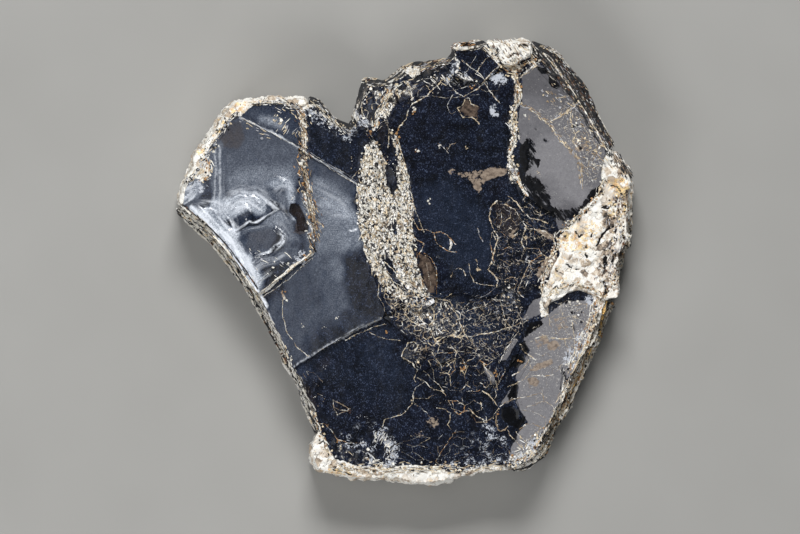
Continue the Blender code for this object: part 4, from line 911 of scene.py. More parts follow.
def noise_at(points, length, seed):
    """Smooth noise from -1 to 1 at plan or space points, changing over about the given length."""
    shift = 17.31 * seed
    rows = np.asarray(points, float) / length
    if rows.shape[1] == 2:
        return np.array([noise.noise(Vector((x + shift, y - shift, 0.5 * shift)))
                         for x, y in rows.tolist()])
    return np.array([noise.noise(Vector((x + shift, y - shift, z + 0.5 * shift)))
                     for x, y, z in rows.tolist()])


def waves_at(points, waves, seed=0):
    """Noise of several lengths added up: each wave is an amount, a length and its own seed."""
    return sum(amount * noise_at(points, length, seed + own) for amount, length, own in waves)


TORN_WAVES = ((1.0, 3.5, 0), (0.6, 1.3, 1), (0.35, 0.5, 2))
WARP_WAVES = ((0.7, 5.0), (0.4, 1.6), (0.25, 0.7))  # amount and length of each
RAGGED_STEP = 0.35


def ragged(line, seed, amount, closed=False, step=RAGGED_STEP):
    """A line broken up sideways by noise of three lengths, as a torn edge is."""
    line = resampled(line, step, closed)
    shift = waves_at(line, TORN_WAVES, seed)
    return line + sideways(line, closed) * (amount * shift)[:, None]


def distance_to_line(points, line):
    """Distance from each point to a line through the given corners."""
    best = np.full(len(points), np.inf)
    for a, b in zip(line[:-1], line[1:]):
        leg = b - a
        share = np.clip(((points - a) @ leg) / max(leg @ leg, 1e-9), 0.0, 1.0)
        off = points - a - share[:, None] * leg
        best = np.minimum(best, np.sqrt((off ** 2).sum(axis=1)))
    return best


def within(points, outline):
    """Whether each point lies inside a closed outline."""
    x, y = points.T
    odd = np.zeros(len(points), bool)
    for (ax, ay), (bx, by) in zip(outline, np.roll(outline, -1, axis=0)):
        if ay != by:
            odd ^= ((ay > y) != (by > y)) & (x < (bx - ax) * (y - ay) / (by - ay) + ax)
    return odd


def around(points, line, reach):
    """Which points lie in a line's own box, widened by a reach."""
    low, high = line.min(axis=0) - reach, line.max(axis=0) + reach
    return np.flatnonzero(np.all((points > low) & (points < high), axis=1))


def near_line(points, line, radius, soft):
    """1 within a radius of the line, falling to 0 over the softness."""
    reach = radius + soft
    found = np.zeros(len(points))
    close = around(points, line, reach)
    found[close] = 1 - smoothstep(radius, reach, distance_to_line(points[close], line))
    return found


def inside_area(points, outline, soft):
    """1 inside a closed outline and 0 outside, with a soft border across it."""
    found = np.zeros(len(points))
    close = around(points, outline, soft)
    chosen = points[close]
    border = distance_to_line(chosen, np.vstack([outline, outline[:1]]))
    signed = np.where(within(chosen, outline), border, -border)
    found[close] = smoothstep(-0.5 * soft, 0.5 * soft, signed)
    return found


def warped(points, seed):
    """Plan points moved about by noise, so that what is painted there gets ragged borders."""
    moved = points.astype(float).copy()
    for amount, length in WARP_WAVES:
        for axis in (0, 1):
            seed += 1
            moved[:, axis] += amount * noise_at(points, length, seed)
    return moved


def painted_areas(points, areas):
    """How strongly each point belongs to a list of areas."""
    found = np.zeros(len(points))
    for outline, soft, strength in areas:
        found = np.maximum(found, strength * inside_area(points, line_at(outline), soft))
    return found


def painted_lines(points, lines):
    """The strongest of a list of soft lines at each point."""
    found = np.zeros(len(points))
    for line, radius, soft, strength in lines:
        found = np.maximum(found, strength * near_line(points, line_at(line), radius, soft))
    return found


def along_and_off(points, line):
    """How far along a line each point's nearest place is, and how far to its left."""
    best = np.full(len(points), np.inf)
    along = np.zeros(len(points))
    off = np.zeros(len(points))
    start = 0.0
    for a, b in zip(line[:-1], line[1:]):
        leg = b - a
        length = math.hypot(*leg)
        share = np.clip(((points - a) @ leg) / length ** 2, 0.0, 1.0)
        gap = points - a - share[:, None] * leg
        distance = np.hypot(*gap.T)
        near = distance < best
        side = np.sign(leg[0] * gap[:, 1] - leg[1] * gap[:, 0])
        best[near] = distance[near]
        along[near] = start + share[near] * length
        off[near] = (side * distance)[near]
        start += length
    return along, off, start


FLOW_STEP = 1.0


def painted_flows(points, flows):
    """Painted highlights as silky streaks that follow lines, as light does on folded sheets."""
    found = np.zeros(len(points))
    for number, (line, half_width, spacing, strength) in enumerate(flows):
        line = resampled(line_at(line), FLOW_STEP)
        close = around(points, line, half_width)
        along, off, length = along_and_off(points[close], line)
        body = 1 - smoothstep(0.35 * half_width, half_width, np.abs(off))
        body *= smoothstep(-0.5, 2.0, along) * smoothstep(-0.5, 2.0, length - along)
        streaks = ((6, spacing, "broad_streaks"), (3, 0.45 * spacing, "thin_streaks"))
        broad, thin = (
            noise_at(np.column_stack([along / run, off / width]), 1.0, SEEDS[seed] + number)
            for run, width, seed in streaks)
        value = strength * body * np.clip(0.34 + 1.3 * broad + 1.4 * thin, 0, 1)
        found[close] = np.maximum(found[close], value)
    return found


def laid_tones(points, start, lines, areas):
    """A tone at each point, laid down one soft line after another, and then the areas."""
    tone = np.full(len(points), float(start))
    for line, radius, soft, value in lines:
        share = near_line(points, line_at(line), radius, soft)
        tone = tone * (1 - share) + value * share
    for outline, soft, value in areas:
        share = inside_area(points, line_at(outline), soft)
        tone = tone * (1 - share) + value * share
    return tone


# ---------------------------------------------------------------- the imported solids

def cad_mesh(name):
    """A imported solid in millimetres, with its doubled corners joined."""
    bm = bmesh.new()
    bm.from_mesh(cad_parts[name].data)
    bmesh.ops.scale(bm, vec=(1 / MM,) * 3, verts=bm.verts)
    bmesh.ops.remove_doubles(bm, verts=bm.verts, dist=0.002)
    return bm


def outline_at(solid, z):
    """The outline of a solid at a height, counter-clockwise seen from above."""
    cut = solid.copy()
    parts = cut.verts[:] + cut.edges[:] + cut.faces[:]
    found = bmesh.ops.bisect_plane(
        cut, geom=parts, plane_co=(0, 0, z), plane_no=UP, clear_inner=True, clear_outer=True)
    left = dict.fromkeys(part for part in found["geom_cut"] if isinstance(part, bmesh.types.BMEdge))
    loops = []
    while left:
        edge, _ = left.popitem()  # a dict keeps its order, so that each run starts at the same edge
        corner = edge.verts[0]
        loop = []
        while edge:
            corner = edge.other_vert(corner)
            loop.append(tuple(corner.co.xy))
            edge = next((e for e in corner.link_edges if e in left), None)
            left.pop(edge, None)
        loops.append(np.array(loop))
    cut.free()
    longest = max(loops, key=len)
    x, y = longest.T
    area = (x * np.roll(y, -1) - np.roll(x, -1) * y).sum()
    return longest if area > 0 else longest[::-1]


book = cad_mesh("biotite_book")
RIMS = ["feldspar_left_rim", "feldspar_top_cap", "feldspar_right_flank", "feldspar_bottom_rim"]
rims = {name: cad_mesh(name) for name in RIMS}
book_surface = BVHTree.FromBMesh(book)
rim_surfaces = [BVHTree.FromBMesh(solid) for solid in rims.values()]


HELD_WITHIN = (0.5, 1.2)  # the edge moves freely beyond this distance from the feldspar
PUSH_MOST = 2.2  # the torn edge stands out beyond the solids by this at most
PUSH_ELSEWHERE = 0.1  # and by this where the photograph's edge wasn't followed


def freedom(points, z):
    """0 where feldspar holds the book's edge, rising to 1 away from it."""
    found = [min(surface.find_nearest((x, y, z))[3] for surface in rim_surfaces)
             for x, y in points.tolist()]
    return smoothstep(*HELD_WITHIN, np.array(found))


def reaches(points):
    """How far points lie from the origin in each whole degree of bearing, at most."""
    bearing = np.floor(np.degrees(np.arctan2(points[:, 1], points[:, 0]))).astype(int) % 360
    found = np.zeros(360)
    np.maximum.at(found, bearing, np.hypot(points[:, 0], points[:, 1]))
    return found


def edge_gaps():
    """How far the torn edge stands out beyond the solids in each degree of bearing."""
    ends = [[end.co.xy for end in edge.verts] for solid in (book, *rims.values())
            for edge in solid.edges]
    ends = np.array(ends)
    shares = np.linspace(0, 1, 9)[:, None, None]
    solids = reaches((ends[:, 0] + shares * (ends[:, 1] - ends[:, 0])).reshape(-1, 2))
    torn = reaches(np.vstack([resampled(line_at(line), 0.2) for line in OUTER_EDGES]))
    gaps = np.where(torn > 0, np.clip(torn - solids, 0, PUSH_MOST), PUSH_ELSEWHERE)
    wrapped = np.concatenate([gaps[-1:], gaps, gaps[:1]])
    return (wrapped[:-2] + wrapped[1:-1] + wrapped[2:]) / 3


EDGE_GAPS = edge_gaps()


def pushed_out(points, share):
    """Plan shifts that carry a share of the way to the torn edge."""
    bearing = np.degrees(np.arctan2(points[:, 1], points[:, 0])) - 0.5
    gap = np.interp(bearing, np.arange(360), EDGE_GAPS, period=360)
    return points * (gap * share / np.hypot(points[:, 0], points[:, 1]))[:, None]


# ---------------------------------------------------------------- pieces

def make_piece(name, corners, faces, material, marks=None, crease=None):
    """A mesh of the specimen from corners in millimetres, with named values at its corners."""
    mesh = bpy.data.meshes.new(name)
    mesh.from_pydata((np.asarray(corners, float) * MM).tolist(), [], faces)
    for mark, values in (marks or {}).items():
        values = np.asarray(values, float)
        if values.ndim == 2:
            layer = mesh.attributes.new(mark, "FLOAT_COLOR", "POINT")
            padded = np.hstack([values, np.ones((len(values), 1))])
            layer.data.foreach_set("color", padded.ravel())
        else:
            layer = mesh.attributes.new(mark, "FLOAT", "POINT")
            layer.data.foreach_set("value", values)
    mesh.materials.append(material)
    if crease:
        mesh.shade_smooth()
        mesh.set_sharp_from_angle(angle=math.radians(crease))
    piece = bpy.data.objects.new(name, mesh)
    bpy.context.scene.collection.objects.link(piece)
    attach(piece, "root")
    return piece


def flat_cap(plan, rings=(), extra=()):
    """Triangles over a closed plan outline, through extra points and along extra lines."""
    coords = [Vector(p) for p in plan.tolist()]
    edges = [(i, (i + 1) % len(coords)) for i in range(len(coords))]
    for line, closed in rings:
        first = len(coords)
        coords += [Vector(p) for p in line.tolist()]
        edges += [(first + i, first + i + 1) for i in range(len(line) - 1)]
        if closed:
            edges.append((first + len(line) - 1, first))
    coords += [Vector(p) for p in np.asarray(extra, float).reshape(-1, 2).tolist()]
    return geometry.delaunay_2d_cdt(coords, edges, [], 1, 1e-5)


LARGEST_FALL = 1.0  # a strip is broken where it drops by more than this from ring to ring


class Pile:
    """Collects many small closed solids into one mesh."""

    def __init__(self):
        self.corners = []
        self.faces = []
        self.tints = []

    def add(self, corners, faces, tint):
        first = len(self.corners)
        self.corners += [tuple(c) for c in corners]
        self.faces += [tuple(first + i for i in face) for face in faces]
        self.tints += [tint] * len(corners)

    def prism(self, low, high, tint):
        """A closed solid between two rings of equal length, counter-clockwise seen from above."""
        count = len(low)
        sides = [(i, (i + 1) % count, count + (i + 1) % count, count + i) for i in range(count)]
        caps = [tuple(range(count - 1, -1, -1)), tuple(range(count, 2 * count))]
        self.add([*low, *high], sides + caps, tint)

    def strip(self, rings, tints):
        """Closed strips through rings of four corners, each clockwise seen along its strip."""
        falls = [k for k in range(1, len(rings))
                 if abs(rings[k][0][2] - rings[k - 1][0][2]) > LARGEST_FALL]
        for start, end in zip([0, *falls], [*falls, len(rings)]):
            if end - start < 2:
                continue
            first = len(self.corners)
            last = first + 4 * (end - start - 1)
            self.corners += [corner for ring in rings[start:end] for corner in ring]
            self.tints += [tint for tint in tints[start:end] for _ in range(4)]
            self.faces.append((first + 3, first + 2, first + 1, first))
            for k in range(first, last, 4):
                self.faces += [(k + i, k + (i + 1) % 4, k + 4 + (i + 1) % 4, k + 4 + i)
                               for i in range(4)]
            self.faces.append((last, last + 1, last + 2, last + 3))

    def piece(self, name, material, slot, crease=None):
        return make_piece(name, self.corners, self.faces, material,
                          {"tint": self.tints}, crease)


def tinted(name, draw, spread=0.18):
    """A colour by name, a little lighter or darker each time."""
    share = 1 + spread * draw.uniform(-1, 1)
    return tuple(min(1.0, channel * share) for channel in COLOURS[name])


# ---------------------------------------------------------------- the stack of sheets

BLOCK_BASE = 15.3  # below this height the book is drawn as whole sheets
SHEET_THICKNESS = (0.22, 0.62)
SHEET_GAP = 0.05
SHEET_STEP = 0.7  # spacing of the corners along a sheet's edge
SHEET_WAVES = ((0.12, 0.7, 90),)
SHEET_TONES = (-0.3, 0.3)  # how far a sheet's tone strays from its bundle's
BUNDLE_THICKNESS = (0.4, 1.3)  # sheets break off in bundles
BUNDLE_SETBACK = (-0.25, 0.2)
BUNDLE_WAVES = ((0.30, 4.0, 0), (0.2, 1.3, 50))
BUNDLE_TONES = (0.25, 0.75)
STRIPED_ABOVE = 10.5  # near the front the bundles are dark and light in turn
STRIPE_TONES = (0.2, 0.8)
PUSHED_BELOW = (11.0, 15.0)  # bundles stand out at the torn edge, less and less over this height


def sheet_stack(material):
    """The edge of the book below the cleaved front, as bundles of thin broken sheets."""
    draw = random.Random(SEEDS["sheets"])
    corners, faces, tones, pale = [], [], [], []
    low = bundle_top = 0.0
    number = bundle = 0
    while low < BLOCK_BASE - 0.1:
        if low >= bundle_top:
            bundle += 1
            thickness = draw.uniform(*BUNDLE_THICKNESS)
            bundle_top = low + thickness
            low_down = 1 - smoothstep(*PUSHED_BELOW, np.array(low + 0.5 * thickness))
            setback = draw.uniform(*BUNDLE_SETBACK)
            striped = low > STRIPED_ABOVE
            bundle_tone = STRIPE_TONES[bundle % 2] if striped else draw.uniform(*BUNDLE_TONES)
        high = min(low + draw.uniform(*SHEET_THICKNESS), BLOCK_BASE)
        if BLOCK_BASE - high < SHEET_THICKNESS[0]:
            high = BLOCK_BASE
        middle = 0.5 * (low + high)
        ring = resampled(outline_at(book, middle), SHEET_STEP, closed=True)
        free = freedom(ring, middle)
        torn = waves_at(ring, BUNDLE_WAVES, bundle) + waves_at(ring, SHEET_WAVES, number)
        ring = ring + pushed_out(ring, free * low_down)
        ring = ring + sideways(ring, True) * ((setback + torn) * free)[:, None]
        first = len(corners)
        count = len(ring)
        for z in (low, high - SHEET_GAP):
            corners += [(x, y, z) for x, y in ring.tolist()]
        faces += [(first + i, first + (i + 1) % count, first + count + (i + 1) % count,
                   first + count + i) for i in range(count)]
        plan, _, triangles, *_ = flat_cap(ring)
        if len(plan) != count:
            raise RuntimeError(f"sheet {number} crosses itself: {len(plan) - count} new corners")
        faces += [tuple(first + i for i in reversed(t)) for t in triangles]
        faces += [tuple(first + count + i for i in t) for t in triangles]
        tones += [bundle_tone + draw.uniform(*SHEET_TONES)] * (2 * count)
        pale += 2 * painted_areas(ring, PALE_AREAS).tolist()
        low = high
        number += 1
    return make_piece("mica_sheets", corners, faces, material,
                      {"tone": tones, "pale": pale})


# ---------------------------------------------------------------- the cleaved front

RIM_LEVEL = BLOCK_BASE + 0.1  # the front has the book's outline at this height
CREASE_ANGLE = math.radians(25)
CREASE_STEP = 0.8
RIM_CLEAR = 1.0  # the solid's creases are followed to this far from the rim
GUARD_STEP = 0.12  # spacing of the points that keep the scattered ones off a line
RIM_GUARD_STEP = 0.15
OUTLINE_STEP = 0.6
FRONT_STEP = 0.40  # spacing of the front's points
FOLD_STEP = 0.27  # and of those on the folded corner
FRONT_CLEAR = 0.6  # scattered points keep this share of their spacing from borders
BORDER_HALF = 0.06  # a thin plate's edge slopes over twice this
PLATE_RAGGED = 0.25
PLATE_SOFT = 0.12
STROKE_RAGGED = 0.15
RIM_INSET = 0.8  # heights are read from the solid at least this far inside its rim
STEEP = 0.35  # steeper slopes are steps, and are kept
EVEN_ROUNDS = 60
LEDGE_STEP = 0.3
LEDGE_FACE = 0.25
LEDGE_OUT = 0.10
LEDGE_WAVES = ((0.16, 1.6, 0),)
LEDGE_CLEAR = 0.05  # ledges end this far below the rim
RIM_EDGE = 0.6  # how far the rim itself has the broken edge's colours
STILL_WITHIN = (0.0, 2.0)  # the front's points wander freely beyond this distance from the rim
BAND_BEARING = 54  # degrees from the upper-right edge's run to the X axis
STREAK_BEARING = 68  # and from the crumbled band's run
FOLD_BEARING = 25  # of the faint streaks in the soft light tones
FRONT_CREASE = 28  # degrees

# Relief on the front in millimetres, as waves or as plain heights.
FRONT_WAVES = ((0.05, 9.0, 8), (0.02, 2.2, 9))
# the front rises a little under the painted highlights
HIGHLIGHT_RISE = 0.16
HIGHLIGHT_WAVES = ((0.6, 0.8, 6),)  # shares of that rise
CRUMB_WAVES = ((0.22, 1.1, 12),)
CRUMB_ROUGH = 0.14
LACE_WAVES = ((0.05, 0.9, 13),)
BLOT_DEPTH = 0.08
CHALK_RISE = 0.10
CHALK_WAVES = ((0.16, 1.3, 14), (0.10, 0.6, 15))
BAND_RISE = 0.30
BAND_LAYERS = 2.5  # layers in that rise
BAND_WAVES = ((1.0, 0.9, 16),)
BAND_STRETCH = (0.12, 1.0)  # the layers run long along the band
SWAY_WAVES = (((0.24, 2.9, 21), (0.08, 1.2, 22)), ((0.24, 2.9, 23), (0.08, 1.2, 24)))


def turning(degrees):
    """Turns plan points, as rows, so that a run at minus this bearing lies along X."""
    angle = math.radians(degrees)
    return np.array([(math.cos(angle), math.sin(angle)), (-math.sin(angle), math.cos(angle))])


BAND_TURN = turning(BAND_BEARING)
STREAK_TURN = turning(STREAK_BEARING)


def plan_tree(points):
    """A tree that finds the nearest of some plan points."""
    tree = kdtree.KDTree(len(points))
    for i, (x, y) in enumerate(points.tolist()):
        tree.insert((x, y, 0.0), i)
    tree.balance()
    return tree


def creases(solid):
    """Plan lines of the solid's steps on its front."""
    found = []
    for edge in solid.edges:
        a, b = (corner.co for corner in edge.verts)
        if min(a.z, b.z) < BLOCK_BASE or len(edge.link_faces) != 2:
            continue
        if edge.calc_face_angle() > CREASE_ANGLE:
            found.append(np.array([a.xy, b.xy]))
    return found


def settle(heights, ends, fixed, rounds):
    """Heights evened out between neighbours, with the fixed ones kept."""
    count = np.bincount(ends[:, 0], minlength=len(heights)) + np.bincount(
        ends[:, 1], minlength=len(heights))
    for _ in range(rounds):
        total = np.bincount(ends[:, 0], heights[ends[:, 1]], len(heights))
        total += np.bincount(ends[:, 1], heights[ends[:, 0]], len(heights))
        heights = np.where(fixed, heights, total / np.maximum(count, 1))
    return heights


def clumping(points):
    """How thickly crushed mica lies, in clumps and in streaks along the crumbled band."""
    clumps = noise_at(points, 1.6, 33)
    streaks = noise_at(points @ STREAK_TURN * (0.16, 1.0), 0.9, 34)
    return np.clip(1.15 + 0.6 * clumps + 1.5 * streaks, 0, 1.3)


def front_marks(plan):
    """Everything painted on the front, as named values at plan points."""
    spots = warped(plan, SEEDS["marks"])
    fine = plan + 0.35 * (spots - plan)
    # painted highlights on the folds and edges, kept out of the hollow
    painted_highlight = np.maximum(painted_lines(fine, HIGHLIGHT_LINES), painted_flows(fine, HIGHLIGHT_FLOWS))
    return {
        # painted sheen and shade over the mica's own dark tone
        "sheen_and_shade": laid_tones(fine, 0.09, SHEEN_AND_SHADE_LINES, SHEEN_AND_SHADE_AREAS),
        "painted_highlight": painted_highlight * (1 - painted_areas(fine, HOLLOW_AREAS)),
        "frost": painted_lines(fine, FROST_LINES),
        # painted sheen on the tilted plates, and how light it is
        "plate_sheen": painted_areas(fine, PLATE_SHEEN_AREAS),
        "plate_sheen_level": laid_tones(fine, 0.45, PLATE_SHEEN_LEVEL_LINES, []),
        "blot": painted_areas(fine, BLOT_AREAS),
        "tan": painted_areas(fine, TAN_AREAS),
        "brown": painted_areas(spots, BROWN_AREAS),
        "crumb": painted_areas(spots, CRUMB_AREAS) * clumping(spots),
        "lace": painted_areas(spots, LACE_AREAS),
        "chalk": np.maximum(painted_areas(fine, CHALK_AREAS), painted_lines(fine, CHALK_LINES)),
        "band": painted_areas(fine, BAND_AREAS),
    }


def staggered(outline, spacing, draw):
    """Points in staggered rows inside an outline, each a little off its even place."""
    low, high = outline.min(axis=0), outline.max(axis=0)
    columns = np.arange(low[0], high[0], spacing)
    rows = np.arange(low[1], high[1], spacing * math.sqrt(0.75))
    grid = np.array([(x + 0.5 * spacing * (r % 2), y) for r, y in enumerate(rows) for x in columns])
    grid += draw.uniform(-0.3, 0.3, grid.shape) * spacing
    return grid[within(grid, outline)]


def solid_lines(rim_tree):
    """The solid's creases on its front, away from the rim."""
    found = []
    for line in creases(book):
        if min(rim_tree.find((x, y, 0.0))[2] for x, y in line.tolist()) > RIM_CLEAR:
            found.append(resampled(line, CREASE_STEP))
    return found


def plate_borders():
    """The torn outlines of the thin plates, by name."""
    return {name: ragged(line_at(outline), SEEDS["plates"] + k, PLATE_RAGGED, closed=True)
            for k, (name, (outline, _)) in enumerate(THIN_PLATES.items())}


def raised_strokes():
    """The ridges and grooves: torn line, half width and height of each."""
    return [(ragged(line_at(line), SEEDS["strokes"] + k, STROKE_RAGGED), width, height)
            for k, (line, width, height) in enumerate([*RIDGES.values(), *GROOVES.values()])]


def scattered(rim, guards, draw):
    """Points between the guarded lines, closer together on the folded corner."""
    tree = plan_tree(np.vstack([*guards, resampled(rim, RIM_GUARD_STEP, closed=True)]))
    fold = line_at(FOLD_AREA)
    grids = []
    for spacing, wanted in ((FRONT_STEP, False), (FOLD_STEP, True)):
        grid = staggered(rim, spacing, draw)
        grid = grid[within(grid, fold) == wanted]
        clear = [tree.find((x, y, 0.0))[2] > FRONT_CLEAR * spacing for x, y in grid.tolist()]
        grids.append(grid[np.array(clear)])
    return np.vstack(grids)


def solid_heights(plan, rim_tree, outward):
    """Heights of the solid's front, read a little inside its rim, and distances to the rim."""
    heights = np.zeros(len(plan))
    inset = np.zeros(len(plan))
    for i, (x, y) in enumerate(plan.tolist()):
        _, nearest, distance = rim_tree.find((x, y, 0.0))
        inset[i] = distance
        spot = np.array([x, y]) - outward[nearest] * max(0.0, RIM_INSET - distance)
        hit = book_surface.ray_cast(Vector((*spot, SKY)), -UP)[0]
        heights[i] = max(hit.z, RIM_LEVEL) if hit else np.nan
    heights[np.isnan(heights)] = np.nanmedian(heights)
    return heights, inset


def eased(plan, heights, ends, rim_count):
    """Heights with the steps and the rim kept, and the gentle facets between evened out."""
    gaps = np.abs(heights[ends[:, 0]] - heights[ends[:, 1]])
    lengths = np.sqrt(((plan[ends[:, 0]] - plan[ends[:, 1]]) ** 2).sum(axis=1))
    steep = gaps > STEEP * lengths
    fixed = np.zeros(len(plan), bool)
    fixed[ends[steep].ravel()] = True
    fixed[:rim_count] = True
    return settle(heights, ends[~steep], fixed, EVEN_ROUNDS)


def with_relief(plan, heights, marks, borders, strokes, draw):
    """Heights with the thin plates, ridges, folds, crumbs and skins added."""
    for name, (_, rise) in THIN_PLATES.items():
        heights += rise * inside_area(plan, borders[name], PLATE_SOFT)
    for line, width, height in strokes:
        heights += height * (1 - np.clip(distance_to_line(plan, line) / width, 0, 1))
    heights += HIGHLIGHT_RISE * marks["painted_highlight"] * (1 + waves_at(plan, HIGHLIGHT_WAVES))
    heights += waves_at(plan, FRONT_WAVES)
    rough = draw.uniform(-CRUMB_ROUGH, CRUMB_ROUGH, len(plan))
    heights += marks["crumb"] * (waves_at(plan, CRUMB_WAVES) + rough)
    heights += marks["lace"] * waves_at(plan, LACE_WAVES)
    heights -= BLOT_DEPTH * marks["blot"]
    heights += marks["chalk"] * (CHALK_RISE + waves_at(plan, CHALK_WAVES))
    layers = waves_at(plan @ BAND_TURN * BAND_STRETCH, BAND_WAVES)
    heights += marks["band"] * BAND_RISE * np.round(BAND_LAYERS * layers) / BAND_LAYERS
    return heights


def add_wall(corners, faces, rim, outward, free):
    """Builds ledge over ledge from the block's base up to the rim, the first of the corners."""
    rim_count = len(rim)
    tops = [corner[2] for corner in corners[:rim_count]]
    columns = [[] for _ in tops]
    for number, level in enumerate(np.arange(BLOCK_BASE, max(tops), LEDGE_STEP)):
        step_out = free * (LEDGE_OUT + waves_at(rim, LEDGE_WAVES, SEEDS["ledges"] + number))
        ring = rim + outward * step_out[:, None]
        for z in (level, level + LEDGE_FACE):
            for i, top in enumerate(tops):
                if z < top - LEDGE_CLEAR:
                    columns[i].append(len(corners))
                    corners.append((*ring[i], z))
                else:
                    columns[i].append(i)
    for i, column in enumerate(columns):
        column.append(i)  # the last step, up to the rim
    for left, right in zip(columns, [*columns[1:], columns[0]]):
        for (a, b), (d, c) in zip(zip(left, left[1:]), zip(right, right[1:])):
            loop = tuple(dict.fromkeys((a, d, c, b)))
            if len(loop) > 2:
                faces.append(loop)
    base = [column[0] for column in columns]
    _, _, triangles, *_ = flat_cap(np.array([corners[i][:2] for i in base]))
    faces += [tuple(base[i] for i in reversed(t)) for t in triangles]


def build_front(material):
    """The cleaved front and the wall just below it: one closed block."""
    draw = np.random.default_rng(SEEDS["front"])
    rim = resampled(outline_at(book, RIM_LEVEL), OUTLINE_STEP, closed=True)
    outward = -sideways(rim, True)  # a counter-clockwise outline has its inside on the left
    free = freedom(rim, RIM_LEVEL)
    rim_tree = plan_tree(rim)

    # lines that the surface has to follow, and points in between
    borders, strokes = plate_borders(), raised_strokes()
    rings = [(line, False) for line in solid_lines(rim_tree)]
    guards = [resampled(line, GUARD_STEP) for line, _ in rings]
    for loop in borders.values():
        for side in (-BORDER_HALF, BORDER_HALF):
            rings.append((loop + sideways(loop, True) * side, True))
        guards.append(loop)
    for line, width, _ in strokes:
        for side in (-width, 0.0, width):
            offset = line + sideways(line) * side
            rings.append((offset, False))
            guards.append(offset)
    plan, edges, triangles, *_ = flat_cap(rim, rings, scattered(rim, guards, draw))
    plan = np.array([tuple(p) for p in plan])

    heights, inset = solid_heights(plan, rim_tree, outward)
    heights = eased(plan, heights, np.array(edges), len(rim))
    marks = front_marks(plan)
    heights = with_relief(plan, heights, marks, borders, strokes, draw)

    # wander in plan, so that no border runs straight
    sway = np.stack([waves_at(plan, waves) for waves in SWAY_WAVES], axis=1)
    plan = plan + sway * smoothstep(*STILL_WITHIN, inset)[:, None]

    corners = np.column_stack([plan, heights]).tolist()
    faces = [tuple(t) for t in triangles]
    lasting = len(corners)
    add_wall(corners, faces, rim, outward, free)

    wall = len(corners) - lasting
    marks = {name: np.concatenate([values, np.zeros(wall)]) for name, values in marks.items()}
    marks["edge"] = np.concatenate([np.zeros(lasting), np.ones(wall)])
    marks["edge"][:len(rim)] = RIM_EDGE
    marks["pale"] = painted_areas(np.array([corner[:2] for corner in corners]), PALE_AREAS)
    return make_piece("mica_front", corners, faces, material, marks, FRONT_CREASE)


# ---------------------------------------------------------------- veins, crumbs and flakes

class Ground:
    """Reads the height of the finished pieces' surface, in millimetres."""

    def __init__(self, *pieces_below):
        self.surfaces = []
        for piece in pieces_below:
            corners = np.empty(3 * len(piece.data.vertices))
            piece.data.vertices.foreach_get("co", corners)
            corners = (corners.reshape(-1, 3) / MM).tolist()
            faces = [tuple(face.vertices) for face in piece.data.polygons]
            self.surfaces.append(BVHTree.FromPolygons(corners, faces))

    def at(self, x, y):
        """The height under a plan point, or None beside the pieces."""
        found = None
        for surface in self.surfaces:
            spot = surface.ray_cast(Vector((x, y, SKY)), -UP)[0]
            if spot and (found is None or spot.z > found):
                found = spot.z
        return found


VEIN_STEP = 0.24
VEIN_RAGGED = 0.26
VEIN_WANDER = ((0.13, 0.55, 2),)
VEIN_SWELL = ((1.0, 1.5, 3), (0.9, 0.5, 4))
VEIN_LIGHT = ((1.0, 0.8, 5),)
TAN_BELOW, WHITE_ABOVE = -0.3, 0.16  # where that light changes a vein's colour
VEIN_SIDES = -0.04  # heights of the ridge's sides and of its foot over the surface
VEIN_FOOT = -0.15
LAYER_STEP = 0.3
LAYER_RAGGED = 0.14
LAYER_SWELL = ((0.9, 1.2, 3),)
LAYER_SHADES = ((1.0, 1.0, 4),)
OTHER_ABOVE = 0.25  # where that light gives a layer its other colour
LAYER_DEPTH = 1.4
LAYER_REACH = 4  # a layer stays level over this many steps of its line, to either side


def add_vein(pile, ground, line, width, tint_name, draw, seed):
    """A crusty ridge of a diamond's cross-section along a line on the surface."""
    line = ragged(line, seed, VEIN_RAGGED, step=VEIN_STEP)
    line = line + sideways(line) * waves_at(line, VEIN_WANDER, seed)[:, None]
    swell = np.clip(0.86 + waves_at(line, VEIN_SWELL, seed), 0.10, 1.7)
    light = waves_at(line, VEIN_LIGHT, seed)
    rings, tints = [], []
    for spot, side, share, shade in zip(line, sideways(line), swell, light):
        half = 0.5 * width * share
        name = "tan" if shade < TAN_BELOW else "white" if shade > WHITE_ABOVE else tint_name
        z = ground.at(*spot)
        if z is None:
            break
        rings.append([(*(spot + side * half), z + VEIN_SIDES), (*spot, z + 0.45 * half + 0.02),
                      (*(spot - side * half), z + VEIN_SIDES), (*spot, z + VEIN_FOOT)])
        tints.append(tinted(name, draw, 0.3))
    pile.strip(rings, tints)


def add_layer(pile, ground, line, width, tint_name, draw, seed):
    """The broken edge of a layer along a line: a low wall that runs on over gaps below it."""
    line = ragged(line, seed, LAYER_RAGGED, step=LAYER_STEP)
    found = [ground.at(*spot) for spot in line]
    swell = np.clip(1.0 + waves_at(line, LAYER_SWELL, seed), 0.3, 1.5)
    shades = waves_at(line, LAYER_SHADES, seed)
    other = "brown" if tint_name == "black" else "cream"
    rings, tints = [], []
    for k, (spot, side) in enumerate(zip(line, sideways(line))):
        if found[k] is None:
            continue
        near = found[max(0, k - LAYER_REACH):k + LAYER_REACH + 1]
        top = max(z for z in near if z is not None) + 0.05
        half = 0.5 * width * float(swell[k])
        left, right = spot + side * half, spot - side * half
        rings.append([(*left, top), (*right, top), (*right, top - LAYER_DEPTH),
                      (*left, top - LAYER_DEPTH)])
        tints.append(tinted(other if shades[k] > OTHER_ABOVE else tint_name, draw, 0.15))
    pile.strip(rings, tints)


